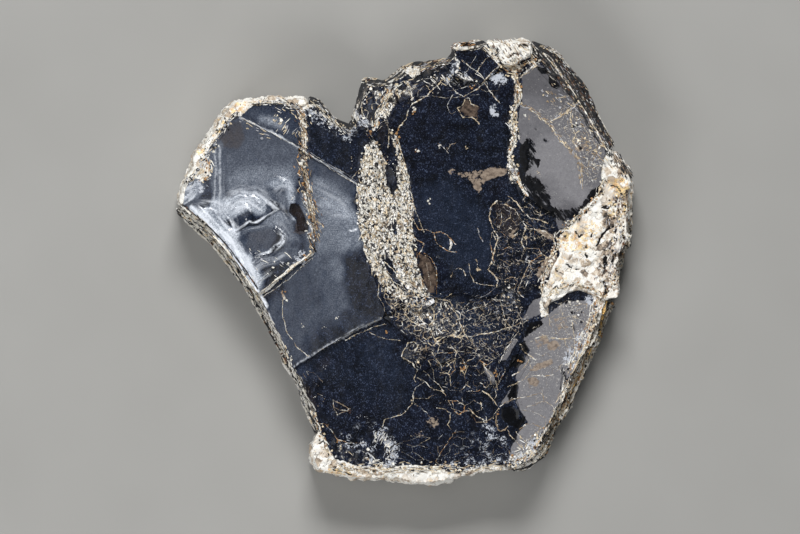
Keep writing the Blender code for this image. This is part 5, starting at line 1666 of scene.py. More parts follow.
def add_grain(pile, x, y, z, size, tint, draw):
    """An irregular eight-sided grain sunk a third of its height into what carries it."""
    turn = draw.uniform(0, math.tau)
    ring = []
    for k in range(4):
        reach = 0.5 * size * draw.uniform(0.6, 1.15)
        angle = turn + k * math.pi / 2 + draw.uniform(-0.3, 0.3)
        ring.append((x + reach * math.cos(angle), y + reach * math.sin(angle),
                     z + 0.12 * size * draw.uniform(-0.5, 1)))
    top = (x + 0.12 * size * draw.uniform(-1, 1), y + 0.12 * size * draw.uniform(-1, 1),
           z + 0.4 * size * draw.uniform(0.7, 1.2))
    corners = [*ring, top, (x, y, z - 0.3 * size)]
    faces = [(k, (k + 1) % 4, 4) for k in range(4)] + [((k + 1) % 4, k, 5) for k in range(4)]
    pile.add(corners, faces, tint)


def add_flake(pile, x, y, z, size, tint, draw):
    """A small irregular sheet, tilted, with its lower edge in what carries it."""
    rise = math.tan(math.radians(draw.uniform(*FLAKE_TILTS)))
    sides = draw.choice((4, 5, 6))
    turn = draw.uniform(0, math.tau)
    lean = draw.uniform(0, math.tau)
    low, high = [], []
    thick = draw.uniform(0.06, 0.14)
    for k in range(sides):
        reach = 0.5 * size * draw.uniform(0.55, 1.2)
        angle = turn + math.tau * (k + 0.25 * draw.uniform(-1, 1)) / sides
        dx, dy = reach * math.cos(angle), reach * math.sin(angle)
        height = z + rise * (dx * math.cos(lean) + dy * math.sin(lean))
        low.append((x + dx, y + dy, height - thick))
        high.append((x + dx, y + dy, height + 0.04))
    pile.prism(low, high, tint)


def add_sliver(pile, x, y, z, bearing, tint, draw):
    """A long thin splinter lying on the surface, a little tilted."""
    length, width = draw.uniform(0.5, 2.0), draw.uniform(0.09, 0.24)
    along = np.array((math.cos(bearing), math.sin(bearing)))
    across = np.array((-along[1], along[0]))
    tilt = draw.uniform(-0.12, 0.12)
    low, high = [], []
    for reach, side in ((-0.5, -0.3), (0.1, -0.5), (0.5, 0.1), (0.2, 0.5), (-0.4, 0.4)):
        spot = along * reach * length + across * side * width * draw.uniform(0.7, 1.3)
        height = z + tilt * reach * length
        low.append((x + spot[0], y + spot[1], height - 0.12))
        high.append((x + spot[0], y + spot[1], height + 0.09))
    pile.prism(low, high, tint)


def scatter_in(outline, spacing, draw, margin):
    """Random plan points in and just around an outline, about a spacing apart."""
    low, high = outline.min(axis=0) - margin, outline.max(axis=0) + margin
    count = int(np.prod(high - low) / spacing ** 2)
    points = np.array([(draw.uniform(low[0], high[0]), draw.uniform(low[1], high[1]))
                       for _ in range(count)])
    border = distance_to_line(points, np.vstack([outline, outline[:1]]))
    return points[within(points, outline) | (border < margin)]


GRAINS_ON_VEINS = 0.36  # of the places along a vein
GRAINS_RAGGED = 0.3
FLECK_GRAINS = 4
FLECK_SPREAD = 1.2  # pixels


def build_veins(ground, edge_ground, material):
    """The raised veins with grains along them, the edge's layers, and the bright flecks."""
    draw = random.Random(SEEDS["veins"])
    pile = Pile()
    for seed, (line, width, tint_name) in enumerate(EDGE_LAYERS):
        add_layer(pile, edge_ground, line_at(line), width, tint_name, draw,
                  SEEDS["layer_lines"] + 5 * seed)
    for seed, (line, width, tint_name) in enumerate(VEINS):
        add_vein(pile, ground, line_at(line), width, tint_name, draw,
                 SEEDS["vein_lines"] + 5 * seed)
        if tint_name == "grey":
            continue
        for x, y in ragged(line_at(line), SEEDS["vein_grains"] + seed, GRAINS_RAGGED).tolist():
            if draw.random() < GRAINS_ON_VEINS:
                z = ground.at(x, y)
                if z is not None:
                    shade = draw.choice((tint_name, tint_name, "cream", "white", "white"))
                    size = draw.uniform(0.12, 0.45) * (0.6 + width)
                    add_grain(pile, x, y, z, size, tinted(shade, draw), draw)
    for px, py, size, tint_name in FLECKS:
        for _ in range(FLECK_GRAINS):
            x, y = at(px + draw.gauss(0, FLECK_SPREAD), py + draw.gauss(0, FLECK_SPREAD))
            z = ground.at(x, y)
            if z is not None:
                add_grain(pile, x, y, z, size * draw.uniform(0.4, 0.9),
                          tinted(tint_name, draw), draw)
    return pile.piece("veins", material, "feldspar")


def cell_borders(outline, size, draw):
    """The borders between irregular cells filling an outline, as pairs of plan points."""
    points = [Vector(p) for p in staggered(outline, size, draw).tolist()]
    plan, _, triangles, *_ = geometry.delaunay_2d_cdt(points, [], [], 0, 1e-6)
    middles, neighbours, borders = [], {}, []
    for number, (i, j, k) in enumerate(triangles):
        a, b, c = plan[i], plan[j], plan[k]
        middles.append(np.array((a + b + c) / 3))
        for side in ((i, j), (j, k), (k, i)):
            other = neighbours.pop(tuple(sorted(side)), None)
            if other is None:
                neighbours[tuple(sorted(side))] = number
            else:
                borders.append((middles[other], middles[number]))
    return borders


def build_networks(ground, material):
    """Networks of fine cream and rusty veins, with gaps in them."""
    pile = Pile()
    draw = random.Random(SEEDS["networks"])
    for number, (outline, size, width, share, palette) in enumerate(NETWORKS):
        spread = np.random.default_rng(SEEDS["network_cells"] + number)
        for k, ends in enumerate(cell_borders(line_at(outline), size, spread)):
            if draw.random() < share:
                add_vein(pile, ground, np.array(ends), width * draw.uniform(0.4, 1.2),
                         draw.choice(palette), draw, SEEDS["network_lines"] + 100 * number + k)
    return pile.piece("networks", material, "feldspar")


CRUMB_TINTS = ("black",) * 3 + ("tan",) + ("cream",) * 3 + ("white",) * 7
FLAKE_TILTS = (5, 50)  # degrees
CRUMB_SPACING = 0.46
CRUMB_LIFT = 0.1
CRUMB_SLIVERS = 0.3  # of the crumbs


def build_rubble(ground, material):
    """Loose broken grains along the crusts and the book's broken edges."""
    draw = random.Random(SEEDS["rubble"])
    pile = Pile()
    for line, half_width, per_mm, palette, slivers, bearing in RUBBLE:
        line = resampled(line_at(line), 1.0 / per_mm)
        for spot, side in zip(line, sideways(line)):
            x, y = spot + side * half_width * draw.gauss(0, 0.6) + (draw.gauss(0, 0.2), 0)
            z = ground.at(x, y)
            if z is None:
                continue
            shade = tinted(draw.choice(palette), draw, 0.25)
            if draw.random() < slivers:
                way = math.atan2(-side[0], side[1]) if bearing is None else math.radians(bearing)
                add_sliver(pile, x, y, z, way + draw.gauss(0, 0.16), shade, draw)
            elif draw.random() < 0.5:
                add_grain(pile, x, y, z, draw.uniform(0.25, 0.85), shade, draw)
            else:
                add_flake(pile, x, y, z + 0.08, draw.uniform(0.3, 0.95), shade, draw)
    return pile.piece("rubble", material, "feldspar")


def build_crumbs(ground, material):
    """Small broken flakes standing in the crumbled band and the other crushed places."""
    draw = random.Random(SEEDS["crumbs"])
    pile = Pile()
    for outline, soft, strength in CRUMB_AREAS:
        outline = line_at(outline)
        points = scatter_in(outline, CRUMB_SPACING / strength, draw, 0.5 * soft)
        wanted = inside_area(points, outline, soft) * clumping(points)
        chance = np.array([draw.random() for _ in points])
        for x, y in points[chance < wanted].tolist():
            z = ground.at(x, y)
            if z is None:
                continue
            tint = tinted(draw.choice(CRUMB_TINTS), draw, 0.3)
            if draw.random() < CRUMB_SLIVERS:
                way = math.radians(-STREAK_BEARING) + draw.gauss(0, 0.5)
                add_sliver(pile, x, y, z + CRUMB_LIFT, way, tint, draw)
            else:
                add_flake(pile, x, y, z + CRUMB_LIFT, draw.uniform(0.28, 0.85), tint, draw)
    return pile.piece("crumbs", material, "biotite")


# ---------------------------------------------------------------- the feldspar

RIM_VOXEL = 0.36
RIM_REACH = 0.62  # the lumps grow this far towards the book, to meet it
RIM_OVERLAP = 0.1
STONE_CREASE = 35  # degrees
STONE_WAVES = ((0.34, 3.2, 0), (0.2, 1.4, 1))
STONE_GRAIN = ((0.09, 0.6, 2),)
PEBBLES = ((1.0, 2.4, 0), (0.5, 0.9, 1))  # share, size in millimetres and seed
PEBBLE_RISE = 0.32
PIT_DEPTH = 0.45
CONTACT_RISE = 0.30  # the stone's relief where it meets the book
LOWEST = 0.3  # the relief stays above the floor by this


def pebble_heights(corners, size, seed):
    """1 on top of each irregular block and 0 in the joints between them."""
    found = []
    for x, y, z in (corners / size + 13.7 * seed).tolist():
        distances, _ = noise.voronoi(Vector((x, y, z)))
        found.append(distances[1] - distances[0])
    return np.minimum(1.0, 2.2 * np.array(found))


def distances_to_book(corners):
    return np.array([book_surface.find_nearest(corner)[3] for corner in corners.tolist()])


def remeshed(solid):
    """Corners, their normals and the faces of an even mesh over a solid."""
    mesh = bpy.data.meshes.new("working")
    solid.to_mesh(mesh)
    working = bpy.data.objects.new("working", mesh)
    bpy.context.scene.collection.objects.link(working)
    remesh = working.modifiers.new("remesh", "REMESH")
    remesh.mode = "VOXEL"
    remesh.voxel_size = RIM_VOXEL
    made = working.evaluated_get(bpy.context.evaluated_depsgraph_get()).to_mesh()
    found = []
    for kind in ("co", "normal"):
        values = np.empty(3 * len(made.vertices))
        made.vertices.foreach_get(kind, values)
        found.append(values.reshape(-1, 3))
    faces = [tuple(face.vertices) for face in made.polygons]
    bpy.data.objects.remove(working)
    return *found, faces


def build_rim(name, material):
    """One lump of feldspar with its broken grain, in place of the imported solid."""
    solid = rims[name]
    for corner in solid.verts:
        spot, _, _, distance = book_surface.find_nearest(corner.co)
        if spot is not None and 0 < distance < RIM_REACH:
            corner.co += (spot - corner.co) * (1 + RIM_OVERLAP / distance)
    corners, normals, faces = remeshed(solid)

    seed = SEEDS["stones"] + 10 * RIMS.index(name)
    lumps = waves_at(corners, STONE_WAVES, seed)
    pebbles = sum(share * pebble_heights(corners, size, seed + own) for share, size, own in PEBBLES)
    grain = waves_at(corners, STONE_GRAIN, seed)
    plan = corners[:, :2]
    shake = warped(plan, SEEDS["pits"]) - plan
    pits = painted_lines(plan + 0.6 * shake, PIT_LINES) * smoothstep(10.0, 12.0, corners[:, 2])
    pits *= smoothstep(0.3, 0.7, normals[:, 2])
    plan = plan + 0.3 * shake
    touching = 1 - smoothstep(0.3, 1.3, distances_to_book(corners))
    relief = lumps + PEBBLE_RISE * (pebbles - 0.9) + grain - PIT_DEPTH * pits
    relief = relief * (1 - touching) + (CONTACT_RISE + grain) * touching
    shift = relief * smoothstep(0.0, 1.2, corners[:, 2])
    corners = corners + normals * shift[:, None]
    corners[:, :2] += pushed_out(corners[:, :2], smoothstep(0.4, 2.4, distances_to_book(corners)))
    corners[:, 2] = np.maximum(corners[:, 2], LOWEST)
    upward = smoothstep(0.1, 0.6, normals[:, 2])  # stains lie on what faces up
    # hollow is high in the low joints between the pebbles, where painted shade goes
    marks = {"hollow": 1 - pebbles / 1.5, "pit": pits}
    for mark, areas in (("rust", RUST_AREAS), ("earth", EARTH_AREAS), ("clean", CLEAN_AREAS)):
        marks[mark] = painted_areas(plan, areas) * upward
    piece = make_piece(name + "_stone", corners, faces, material, marks, STONE_CREASE)
    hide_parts(name)
    return piece


# ---------------------------------------------------------------- materials

# Colour ramps: each stop's place, then its red, green and blue.
RAMPS = {
    "layers": [
        (0.58, (0.008, 0.009, 0.012)), (0.61, (0.05, 0.047, 0.045)), (0.63, (0.26, 0.22, 0.17)),
        (0.65, (0.74, 0.70, 0.62)), (0.70, (0.92, 0.91, 0.88)), (0.80, (0.78, 0.70, 0.58))],
    "sheets": [
        (0.80, (0.008, 0.009, 0.012)), (0.85, (0.05, 0.045, 0.042)), (0.89, (0.28, 0.24, 0.19)),
        (0.93, (0.70, 0.65, 0.56)), (0.98, (0.90, 0.88, 0.84))],
    # painted sheen and shade on the mica
    "sheen_and_shade": [
        (0.08, (0.0, 0.0, 0.0)), (0.18, (0.010, 0.016, 0.033)), (0.32, (0.050, 0.062, 0.090)),
        (0.48, (0.140, 0.160, 0.198)), (0.62, (0.26, 0.29, 0.345)), (0.78, (0.47, 0.51, 0.57)),
        (1.0, (0.84, 0.87, 0.92))],
    # painted sheen on the tilted plates
    "plate_sheen": [
        (0.15, (0.066, 0.064, 0.070)), (0.40, (0.140, 0.137, 0.148)),
        (0.60, (0.255, 0.250, 0.262)), (0.85, (0.47, 0.46, 0.47))],
    "crushed": [
        (0.20, (0.006, 0.006, 0.009)), (0.28, (0.08, 0.06, 0.045)), (0.34, (0.50, 0.40, 0.28)),
        (0.42, (0.84, 0.76, 0.62)), (0.56, (0.94, 0.91, 0.85))],
    "shreds": [
        (0.52, (0.006, 0.006, 0.008)), (0.61, (0.035, 0.030, 0.027)), (0.68, (0.14, 0.105, 0.075)),
        (0.77, (0.42, 0.36, 0.29)), (0.88, (0.80, 0.76, 0.69))],
    "chalk": [(0.34, (0.45, 0.30, 0.16)), (0.44, (0.74, 0.68, 0.57)), (0.56, (0.88, 0.87, 0.84))],
    "grain": [(0.3, (0.70, 0.67, 0.62)), (0.6, (1.0, 1.0, 1.0))],
    "stone": [
        (0.24, (0.50, 0.40, 0.30)), (0.34, (0.72, 0.62, 0.50)), (0.44, (0.90, 0.84, 0.73)),
        (0.56, (0.96, 0.94, 0.88))],
    "earth": [
        (0.18, (0.025, 0.022, 0.022)), (0.26, (0.22, 0.165, 0.12)), (0.38, (0.56, 0.45, 0.35)),
        (0.50, (0.82, 0.72, 0.60)), (0.62, (0.95, 0.90, 0.82))],
    "paper": [(0.3, (0.335, 0.33, 0.315)), (0.7, (0.355, 0.35, 0.335))],
}

# Single tones: red, green and blue.
TONES = {
    "sheet_gap": (0.02, 0.018, 0.018),
    "mica_deep": (0.0004, 0.0008, 0.0030), "mica_lit": (0.0045, 0.0070, 0.0170),
    # the painted glints, and the tone of the painted highlights on the folds
    "painted_glint": (0.060, 0.078, 0.130), "painted_highlight": (0.82, 0.86, 0.93),
    "loss": (0.0006, 0.0006, 0.001), "dust": (0.66, 0.63, 0.58),
    "brown_deep": (0.012, 0.008, 0.006), "brown_lit": (0.075, 0.050, 0.036),
    "clear_deep": (0.026, 0.018, 0.014), "clear_lit": (0.155, 0.112, 0.085),
    "skin_deep": (0.14, 0.105, 0.080), "skin_lit": (0.34, 0.27, 0.21),
    "lace_deep": (0.10, 0.075, 0.05), "lace_lit": (0.70, 0.62, 0.50),
    "crushed_gap": (0.010, 0.010, 0.013),
    "frost_deep": (0.30, 0.33, 0.39), "frost_lit": (0.75, 0.78, 0.84),
    "chalk_pit": (0.03, 0.028, 0.028),
    "stone_ridge": (0.92, 0.91, 0.87), "stone_crack": (0.06, 0.045, 0.035),
    "rust_deep": (0.62, 0.33, 0.11), "rust_lit": (0.98, 0.73, 0.34),
    # painted shade in the hollows between the pebbles, and the whiter clean feldspar
    "pebble_hollow_shade": (0.13, 0.09, 0.06), "stone_clean": (0.93, 0.91, 0.86),
    "stone_speck": (0.03, 0.026, 0.026), "stone_pit": (0.010, 0.008, 0.008),
}


class Shader:
    """A material being put together from nodes."""

    def __init__(self, name):
        self.material = bpy.data.materials.new(name)
        self.material.use_nodes = True
        self.tree = self.material.node_tree
        self.surface = self.tree.nodes["Principled BSDF"]
        coordinates = self.tree.nodes.new("ShaderNodeTexCoord")
        self.place = coordinates.outputs["Object"]

    def add(self, kind, settings=None, **inputs):
        """A node with settings, and inputs that are values or other nodes' outputs."""
        node = self.tree.nodes.new("ShaderNode" + kind)
        for key, value in (settings or {}).items():
            setattr(node, key, value)
        for key, value in inputs.items():
            self.feed(node, int(key[1:]) if key[1:].isdigit() else key.replace("_", " "), value)
        return node

    def feed(self, node, socket, value):
        if isinstance(value, bpy.types.NodeSocket):
            self.tree.links.new(value, node.inputs[socket])
        else:
            node.inputs[socket].default_value = value

    def mark(self, name):
        return self.add("Attribute", {"attribute_name": name}).outputs["Fac"]

    def tint(self):
        return self.add("Attribute", {"attribute_name": "tint"}).outputs["Color"]

    def stretched(self, scale=(1, 1, 1), turn=0.0):
        """Object coordinates in millimetres, turned about Z and then scaled."""
        turned = self.add("Mapping", Vector=self.place, Rotation=(0, 0, math.radians(turn)))
        scale = tuple(share / MM for share in scale)
        return self.add("Mapping", Vector=turned.outputs[0], Scale=scale).outputs[0]

    def noise(self, size, detail=3.0, rough=0.55, scale=(1, 1, 1), turn=0.0, distortion=0.0):
        node = self.add("TexNoise", Vector=self.stretched(scale, turn), Scale=1 / size,
                        Detail=detail, Roughness=rough, Distortion=distortion)
        return node.outputs["Fac"]

    def cells(self, size, vector=None):
        """A random tone for each irregular cell."""
        return self.add("TexVoronoi", {"feature": "F1"}, Scale=1 / size,
                        Vector=vector or self.stretched()).outputs["Color"]

    def cell_edges(self, size, vector):
        """The distance to the nearest border between irregular cells."""
        return self.add("TexVoronoi", {"feature": "DISTANCE_TO_EDGE"}, Scale=1 / size,
                        Vector=vector).outputs["Distance"]

    def bent(self, size, amount):
        """Object coordinates in millimetres, shaken by noise."""
        place = self.stretched()
        shake = self.add("TexNoise", Vector=place, Scale=1 / size, Detail=2.0).outputs["Color"]
        moved = self.add("VectorMath", {"operation": "MULTIPLY_ADD"}, _0=shake,
                         _1=(amount,) * 3, _2=place)
        return moved.outputs[0]

    def math(self, operation, a, b):
        return self.add("Math", {"operation": operation}, _0=a, _1=b).outputs[0]

    def times(self, product, *others):
        """Values multiplied together, in the given order."""
        for other in others:
            product = self.math("MULTIPLY", product, other)
        return product

    def plus(self, *terms):
        """Values added up in the given order, each alone or as a pair with its weight."""
        total, *others = (self.times(*term) if isinstance(term, tuple) else term for term in terms)
        for other in others:
            total = self.math("ADD", total, other)
        return total

    def swing(self, noise, amount):
        """Noise moved to lie about 0, and scaled."""
        return self.times(self.math("SUBTRACT", noise, 0.5), amount)

    def remap(self, value, low, high, to_low=0.0, to_high=1.0):
        node = self.add("MapRange", {"interpolation_type": "SMOOTHSTEP"}, _0=value, _1=low, _2=high,
                        _3=to_low, _4=to_high)
        return node.outputs[0]

    def ramp(self, value, name):
        stops = RAMPS[name]
        node = self.add("ValToRGB", Fac=value)
        elements = node.color_ramp.elements
        while len(elements) < len(stops):
            elements.new(0.5)
        for element, (place, colour) in zip(elements, stops):
            element.position = place
            element.color = (*colour, 1.0)
        return node.outputs["Color"]

    def mix(self, share, first, second, blend="MIX"):
        node = self.add("Mix", {"data_type": "RGBA", "blend_type": blend})
        self.feed(node, 0, share)
        for socket, value in ((6, first), (7, second)):
            self.feed(node, socket, (*TONES[value], 1.0) if isinstance(value, str) else value)
        return node.outputs[2]

    def bump(self, height, strength, distance):
        node = self.add("Bump", Height=height, Strength=strength, Distance=distance * MM)
        return node.outputs["Normal"]

    def finish(self, colour, roughness, normal=None, specular=0.5, ior=1.5):
        self.feed(self.surface, "Base Color", colour)
        self.feed(self.surface, "Roughness", roughness)
        self.feed(self.surface, "Specular IOR Level", specular)
        self.feed(self.surface, "IOR", ior)
        if normal:
            self.feed(self.surface, "Normal", normal)
        return self.material


def layered_colour(s):
    """Broken edges of sheets: black, grey, cream and brown layers, paler where they are marked."""
    layer = s.noise(0.30, 2.0, 0.7, scale=(0.12, 0.12, 1.0), distortion=0.3)
    streak = s.noise(0.5, 3.0, 0.7, scale=(0.10, 1.0, 0.3), turn=BAND_BEARING, distortion=0.3)
    blotch = s.noise(2.2, 4.0, 0.65)
    mixed = s.plus((layer, 0.4), (blotch, 0.3), (streak, 0.5), (s.mark("pale"), 0.06))
    return s.ramp(mixed, "layers")


def sheet_material():
    """The sheets' broken edges: some black, some pale, and mottled along their run."""
    s = Shader("mica_edges")
    patch = s.noise(2.6, 4.0, 0.7)
    grain = s.noise(0.25, 3.0)
    chips = s.noise(0.8, 4.0, 0.7)
    shade = s.plus((s.mark("tone"), 0.42), (patch, 0.6), (chips, 0.6), (s.mark("pale"), 0.15))
    colour = s.ramp(shade, "sheets")
    colour = s.mix(s.remap(grain, 0.52, 0.62, 0.0, 0.5), colour, "sheet_gap")
    return s.finish(colour, 0.45, s.bump(grain, 0.4, 0.15), 0.5, 1.58)


def front_material():
    """The cleaved front: black mica with painted glints, painted sheen, highlights and shade,
    frost, brown skins and fine cracks.
    """
    s = Shader("mica")
    speck = s.noise(0.30, 2.0, 0.7)
    fine = s.noise(0.9, 5.0, 0.7)
    streak = s.noise(1.1, 4.0, 0.6, scale=(1.0, 0.4, 1.0), turn=FOLD_BEARING)
    cloud = s.noise(2.6, 5.0, 0.65)

    # black mica with small bluish painted glints
    painted_glitter = s.times(s.remap(s.cells(0.23), 0.60, 0.78),
                      s.remap(s.noise(0.6, 4.0, 0.75), 0.40, 0.62),
                      s.remap(cloud, 0.35, 0.62, 0.35, 1.0))
    dark = s.mix(s.remap(cloud, 0.35, 0.65), "mica_deep", "mica_lit")
    dark = s.mix(painted_glitter, dark, "painted_glint")

    # painted sheen and shade, lightening the mica's own dark tone
    sheen_and_shade = s.mark("sheen_and_shade")
    sheen_and_shade_tone = s.plus(sheen_and_shade, (s.swing(streak, 0.5), sheen_and_shade), s.swing(cloud, 0.12),
                    (s.swing(speck, 1.7), sheen_and_shade))
    colour = s.mix(1.0, s.ramp(sheen_and_shade_tone, "sheen_and_shade"), dark, "LIGHTEN")

    # painted silky highlights on the folds
    highlight_mark = s.mark("painted_highlight")
    painted_highlight = s.plus(highlight_mark, (s.swing(fine, 1.1), highlight_mark), (s.swing(speck, 0.8), highlight_mark))
    colour = s.mix(s.math("MAXIMUM", painted_highlight, 0.0), colour, "painted_highlight")

    # painted grey sheen on the tilted plates, pierced by black losses and dusted with pale specks
    feather = s.noise(0.7, 4.0, 0.7, scale=(0.3, 1.0, 1.0), turn=BAND_BEARING)
    blot = s.remap(s.plus(s.mark("blot"), s.swing(feather, 1.8)), 0.38, 0.60)
    plate_sheen = s.plus(s.mark("plate_sheen"), s.swing(fine, 0.5))
    plate_sheen = s.times(s.remap(plate_sheen, 0.3, 0.55), s.remap(cloud, 0.25, 0.36),
                   s.remap(speck, 0.15, 0.34, 0.5, 1.0), s.math("SUBTRACT", 1.0, blot))
    colour = s.mix(s.times(blot, 0.9), colour, "loss")
    plate_sheen_level = s.plus(s.mark("plate_sheen_level"), s.swing(fine, 0.25), s.swing(speck, 0.22))
    colour = s.mix(plate_sheen, colour, s.ramp(plate_sheen_level, "plate_sheen"))
    lace_mark = s.mark("lace")
    dust = s.plus(s.noise(0.34, 3.0, 0.75), (lace_mark, 0.09))
    dust = s.times(s.remap(dust, 0.655, 0.70, 0.0, 0.85), plate_sheen)
    colour = s.mix(dust, colour, "dust")

    # clear brown and pale brown skins
    brown_mark = s.mark("brown")
    brown = s.remap(s.times(brown_mark, s.plus(cloud, 0.5)), 0.25, 0.95, 0.0, 0.75)
    colour = s.mix(brown, colour, s.mix(speck, "brown_deep", "brown_lit"))
    clear = s.plus(s.remap(brown_mark, 0.70, 0.95), s.swing(fine, 0.4))
    clear_tone = s.mix(s.remap(fine, 0.35, 0.65), "clear_deep", "clear_lit")
    colour = s.mix(s.remap(clear, 0.35, 0.6, 0.0, 0.9), colour, clear_tone)
    tan_mark = s.mark("tan")
    skin = s.remap(s.plus(tan_mark, s.swing(fine, 1.4), s.swing(cloud, 1.3)), 0.46, 0.60)
    skin = s.times(skin, s.remap(tan_mark, 0.02, 0.2, 0.0, 0.9))
    colour = s.mix(skin, colour, s.mix(s.remap(fine, 0.36, 0.60), "skin_deep", "skin_lit"))

    # fine cream cracks, in a wide and a close network
    threads = []
    for size, bend, width, rare in ((2.3, 1.6, 0.026, 0.90), (0.9, 0.9, 0.06, 0.93)):
        thread = s.cell_edges(size, s.bent(1.3 * size, bend))
        kept = s.plus(s.noise(0.8 * size, 3.0, 0.6), (lace_mark, 0.38))
        threads.append(s.times(s.remap(thread, 0.3 * width, width, 1.0, 0.0),
                               s.remap(kept, rare - 0.06, rare + 0.06)))
    lace = s.times(s.math("MAXIMUM", *threads), s.remap(lace_mark, 0.05, 0.3))
    lace_tone = s.mix(s.remap(s.noise(0.7, 2.0), 0.35, 0.65), "lace_deep", "lace_lit")
    colour = s.mix(lace, colour, lace_tone)

    # crushed mica: pale slivers between black gaps
    shaken = s.add("Mapping", Vector=s.bent(0.8, 0.5), Scale=(1.0, 0.62, 1.0)).outputs[0]
    crush = s.cell_edges(0.52, shaken)
    piece_tone = s.ramp(s.cells(0.52, shaken), "crushed")
    held = s.remap(s.plus(s.mark("crumb"), s.swing(fine, 0.9)), 0.36, 0.56)
    crushed = s.mix(s.remap(crush, 0.03, 0.12, 1.0, 0.0), piece_tone, "crushed_gap")
    colour = s.mix(s.times(held, 0.97), colour, crushed)

    # frost
    frost_mark = s.mark("frost")
    dots = s.plus((s.noise(0.42, 4.0, 0.75), 0.6), (s.noise(1.6, 4.0, 0.7), 0.7),
                  (frost_mark, 0.11))
    frost = s.times(s.remap(dots, 0.735, 0.775), s.remap(frost_mark, 0.05, 0.4, 0.0, 0.9))
    colour = s.mix(frost, colour, s.mix(fine, "frost_deep", "frost_lit"))

    # broken layers seen from above, and white crust
    shreds = s.noise(0.42, 4.0, 0.7, scale=(0.13, 1.0, 1.0), turn=BAND_BEARING, distortion=0.4)
    shred_tone = s.ramp(s.plus(shreds, s.swing(fine, 0.35)), "shreds")
    band = s.remap(s.plus(s.mark("band"), s.swing(fine, 0.6)), 0.35, 0.6)
    colour = s.mix(band, colour, shred_tone)
    chalk = s.remap(s.plus(s.mark("chalk"), s.swing(fine, 1.3)), 0.45, 0.62)
    pits = s.remap(s.noise(0.5, 3.0, 0.7), 0.56, 0.64, 0.0, 0.9)
    chalk_tone = s.mix(pits, s.ramp(s.noise(1.5, 4.0, 0.7), "chalk"), "chalk_pit")
    colour = s.mix(chalk, colour, chalk_tone)

    # the broken edge round the block
    colour = s.mix(s.remap(s.mark("edge"), 0.3, 0.8), colour, layered_colour(s))

    rough = s.plus(0.14, (frost, 0.4), (held, 0.3), (lace, 0.3), (chalk, 0.5))
    relief = s.plus((lace, 0.5), (fine, 0.25), (crush, held, 1.4))
    return s.finish(colour, rough, s.bump(relief, 0.3, 0.12), 0.5, 1.56)


def grain_material(name, roughness):
    """Small grains and crusts, each in its own colour."""
    s = Shader(name)
    speck = s.noise(0.3, 3.0, 0.6)
    colour = s.mix(1.0, s.tint(), s.ramp(speck, "grain"), "MULTIPLY")
    return s.finish(colour, roughness, s.bump(speck, 0.4, 0.1))


def feldspar_material():
    """White feldspar with cream and rusty stains, painted brown shade in the hollows between its
    pebbles, and dark mica specks.
    """
    s = Shader("feldspar_stone")
    cloud = s.noise(3.2, 4.0, 0.6)
    fine = s.noise(0.6, 4.0, 0.7)
    bent = s.bent(0.9, 1.3)
    facet = s.plus(s.cells(2.0, bent), s.swing(cloud, 0.7), s.swing(fine, 1.0))
    seam = s.cell_edges(2.0, bent)
    earth = s.remap(s.plus(s.mark("earth"), s.swing(cloud, 0.8)), 0.35, 0.7)
    colour = s.mix(s.times(earth, 0.95), s.ramp(facet, "stone"), s.ramp(facet, "earth"))
    ridge = s.times(s.remap(seam, 0.03, 0.10, 1.0, 0.0), s.remap(cloud, 0.42, 0.55), 0.8)
    colour = s.mix(ridge, colour, "stone_ridge")
    crack = s.times(s.remap(seam, 0.02, 0.07, 1.0, 0.0), s.remap(cloud, 0.38, 0.48, 1.0, 0.0), 0.85)
    colour = s.mix(crack, colour, "stone_crack")
    stain = s.plus(s.noise(1.0, 5.0, 0.75), (s.mark("rust"), 0.16))
    rust_tone = s.mix(s.remap(s.noise(1.3, 3.0, 0.6), 0.40, 0.56), "rust_deep", "rust_lit")
    colour = s.mix(s.remap(stain, 0.62, 0.70, 0.0, 0.8), colour, rust_tone)
    # painted brown shade in the hollows between the pebbles
    hollow_shade = s.plus(s.mark("hollow"), s.swing(fine, 0.9))
    colour = s.mix(s.remap(hollow_shade, 0.80, 1.05, 0.0, 0.75), colour, "pebble_hollow_shade")
    clean = s.mark("clean")
    colour = s.mix(s.times(clean, 0.4), colour, "stone_clean")
    dark = s.math("SUBTRACT", s.noise(0.8, 4.0, 0.75), s.times(clean, 0.05))
    colour = s.mix(s.remap(dark, 0.59, 0.66, 0.0, 0.92), colour, "stone_speck")
    pit = s.remap(s.plus(s.mark("pit"), s.swing(fine, 1.4)), 0.42, 0.62)
    colour = s.mix(pit, colour, "stone_pit")
    rough = s.math("MAXIMUM", s.remap(fine, 0.3, 0.7, 0.45, 0.7), pit)
    return s.finish(colour, rough, s.bump(fine, 0.6, 0.25), 0.3, 1.53)


def floor_material():
    s = Shader("paper")
    return s.finish(s.ramp(s.noise(40.0, 2.0), "paper"), 0.9)


# ---------------------------------------------------------------- floor, light and camera

# Soft lights: name, place, aim and size in metres, and power in watts.
MIDDLE = (0, 0, 0.01)
LIGHTS = [
    ("key", (0.0, 0.85, 0.95), MIDDLE, (0.5, 0.4), 15.0),
    ("left_box", (-0.42, 0.05, 1.25), MIDDLE, (0.6, 0.7), 1.0),
    ("right_box", (0.5, 0.0, 1.25), MIDDLE, (0.6, 0.6), 0.25),
    ("front_fill", (-0.3, -0.45, 0.5), (0, -0.03, 0.0), (0.5, 0.2), 2.6),
]
FLOOR_HALF = 1.5  # metres
CAMERA_PLACE = (-1.32 * MM, -1.08 * MM, 4518 * MM)
CAMERA_LENS = 843.75  # millimetres, as the sensor's width is
CAMERA_SENSOR = 36.0
SKY_TONE = (0.9, 0.95, 1.0, 1.0)
SKY_STRENGTH = 0.09


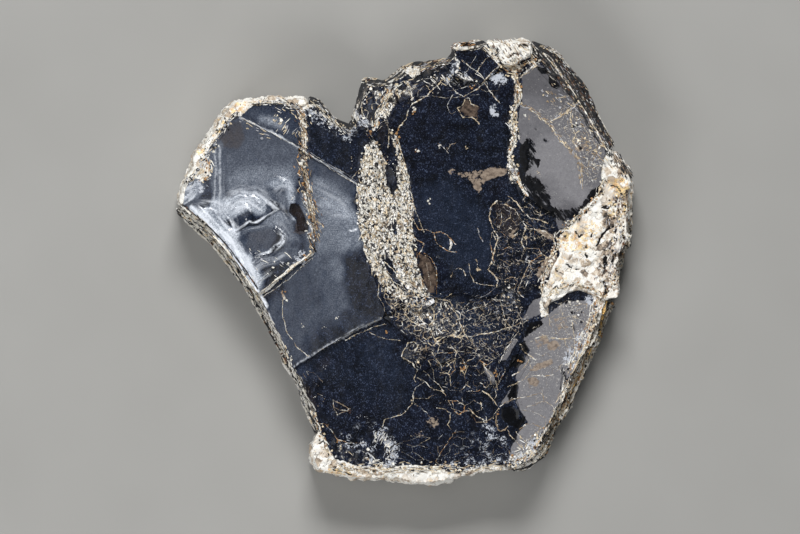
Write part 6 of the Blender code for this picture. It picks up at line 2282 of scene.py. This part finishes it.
def softbox(name, place, aim, size, power):
    """A soft studio light that the camera doesn't see."""
    data = bpy.data.lights.new(name, "AREA")
    data.shape = "RECTANGLE"
    data.size, data.size_y = size
    data.energy = power
    lamp = bpy.data.objects.new(name, data)
    lamp.location = place
    lamp.rotation_euler = (Vector(aim) - Vector(place)).to_track_quat("-Z", "Y").to_euler()
    lamp.visible_camera = False
    bpy.context.scene.collection.objects.link(lamp)


def add_floor(material):
    bm = bmesh.new()
    bmesh.ops.create_grid(bm, x_segments=4, y_segments=4, size=FLOOR_HALF)
    mesh = bpy.data.meshes.new("floor")
    bm.to_mesh(mesh)
    bm.free()
    mesh.materials.append(material)
    floor = bpy.data.objects.new("floor", mesh)
    bpy.context.scene.collection.objects.link(floor)


def add_camera():
    """Looks straight down; the frame is 192 mm wide at the height of the front."""
    data = bpy.data.cameras.new("camera")
    data.sensor_width = CAMERA_SENSOR
    data.lens = CAMERA_LENS
    data.clip_end = 8.0
    camera = bpy.data.objects.new("camera", data)
    camera.location = CAMERA_PLACE
    bpy.context.scene.collection.objects.link(camera)
    bpy.context.scene.camera = camera


def add_world():
    world = bpy.data.worlds.new("studio")
    world.use_nodes = True
    backdrop = world.node_tree.nodes["Background"]
    backdrop.inputs["Color"].default_value = SKY_TONE
    backdrop.inputs["Strength"].default_value = SKY_STRENGTH
    bpy.context.scene.world = world


def main():
    edges = sheet_material()
    mica = front_material()
    crust = grain_material("crust", 0.6)
    flakes = grain_material("broken_mica", 0.3)
    stone = feldspar_material()

    sheets = sheet_stack(edges)
    front = build_front(mica)
    for piece in (sheets, front):
        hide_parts("biotite_book")
    ground = Ground(front)
    build_veins(ground, Ground(front, sheets), crust)
    build_networks(ground, crust)
    build_crumbs(ground, flakes)
    stones = [build_rim(name, stone) for name in RIMS]
    build_rubble(Ground(front, sheets, *stones), crust)

    add_floor(floor_material())
    add_world()
    for light in LIGHTS:
        softbox(*light)
    add_camera()
    bpy.context.scene.view_settings.view_transform = "Standard"


main()
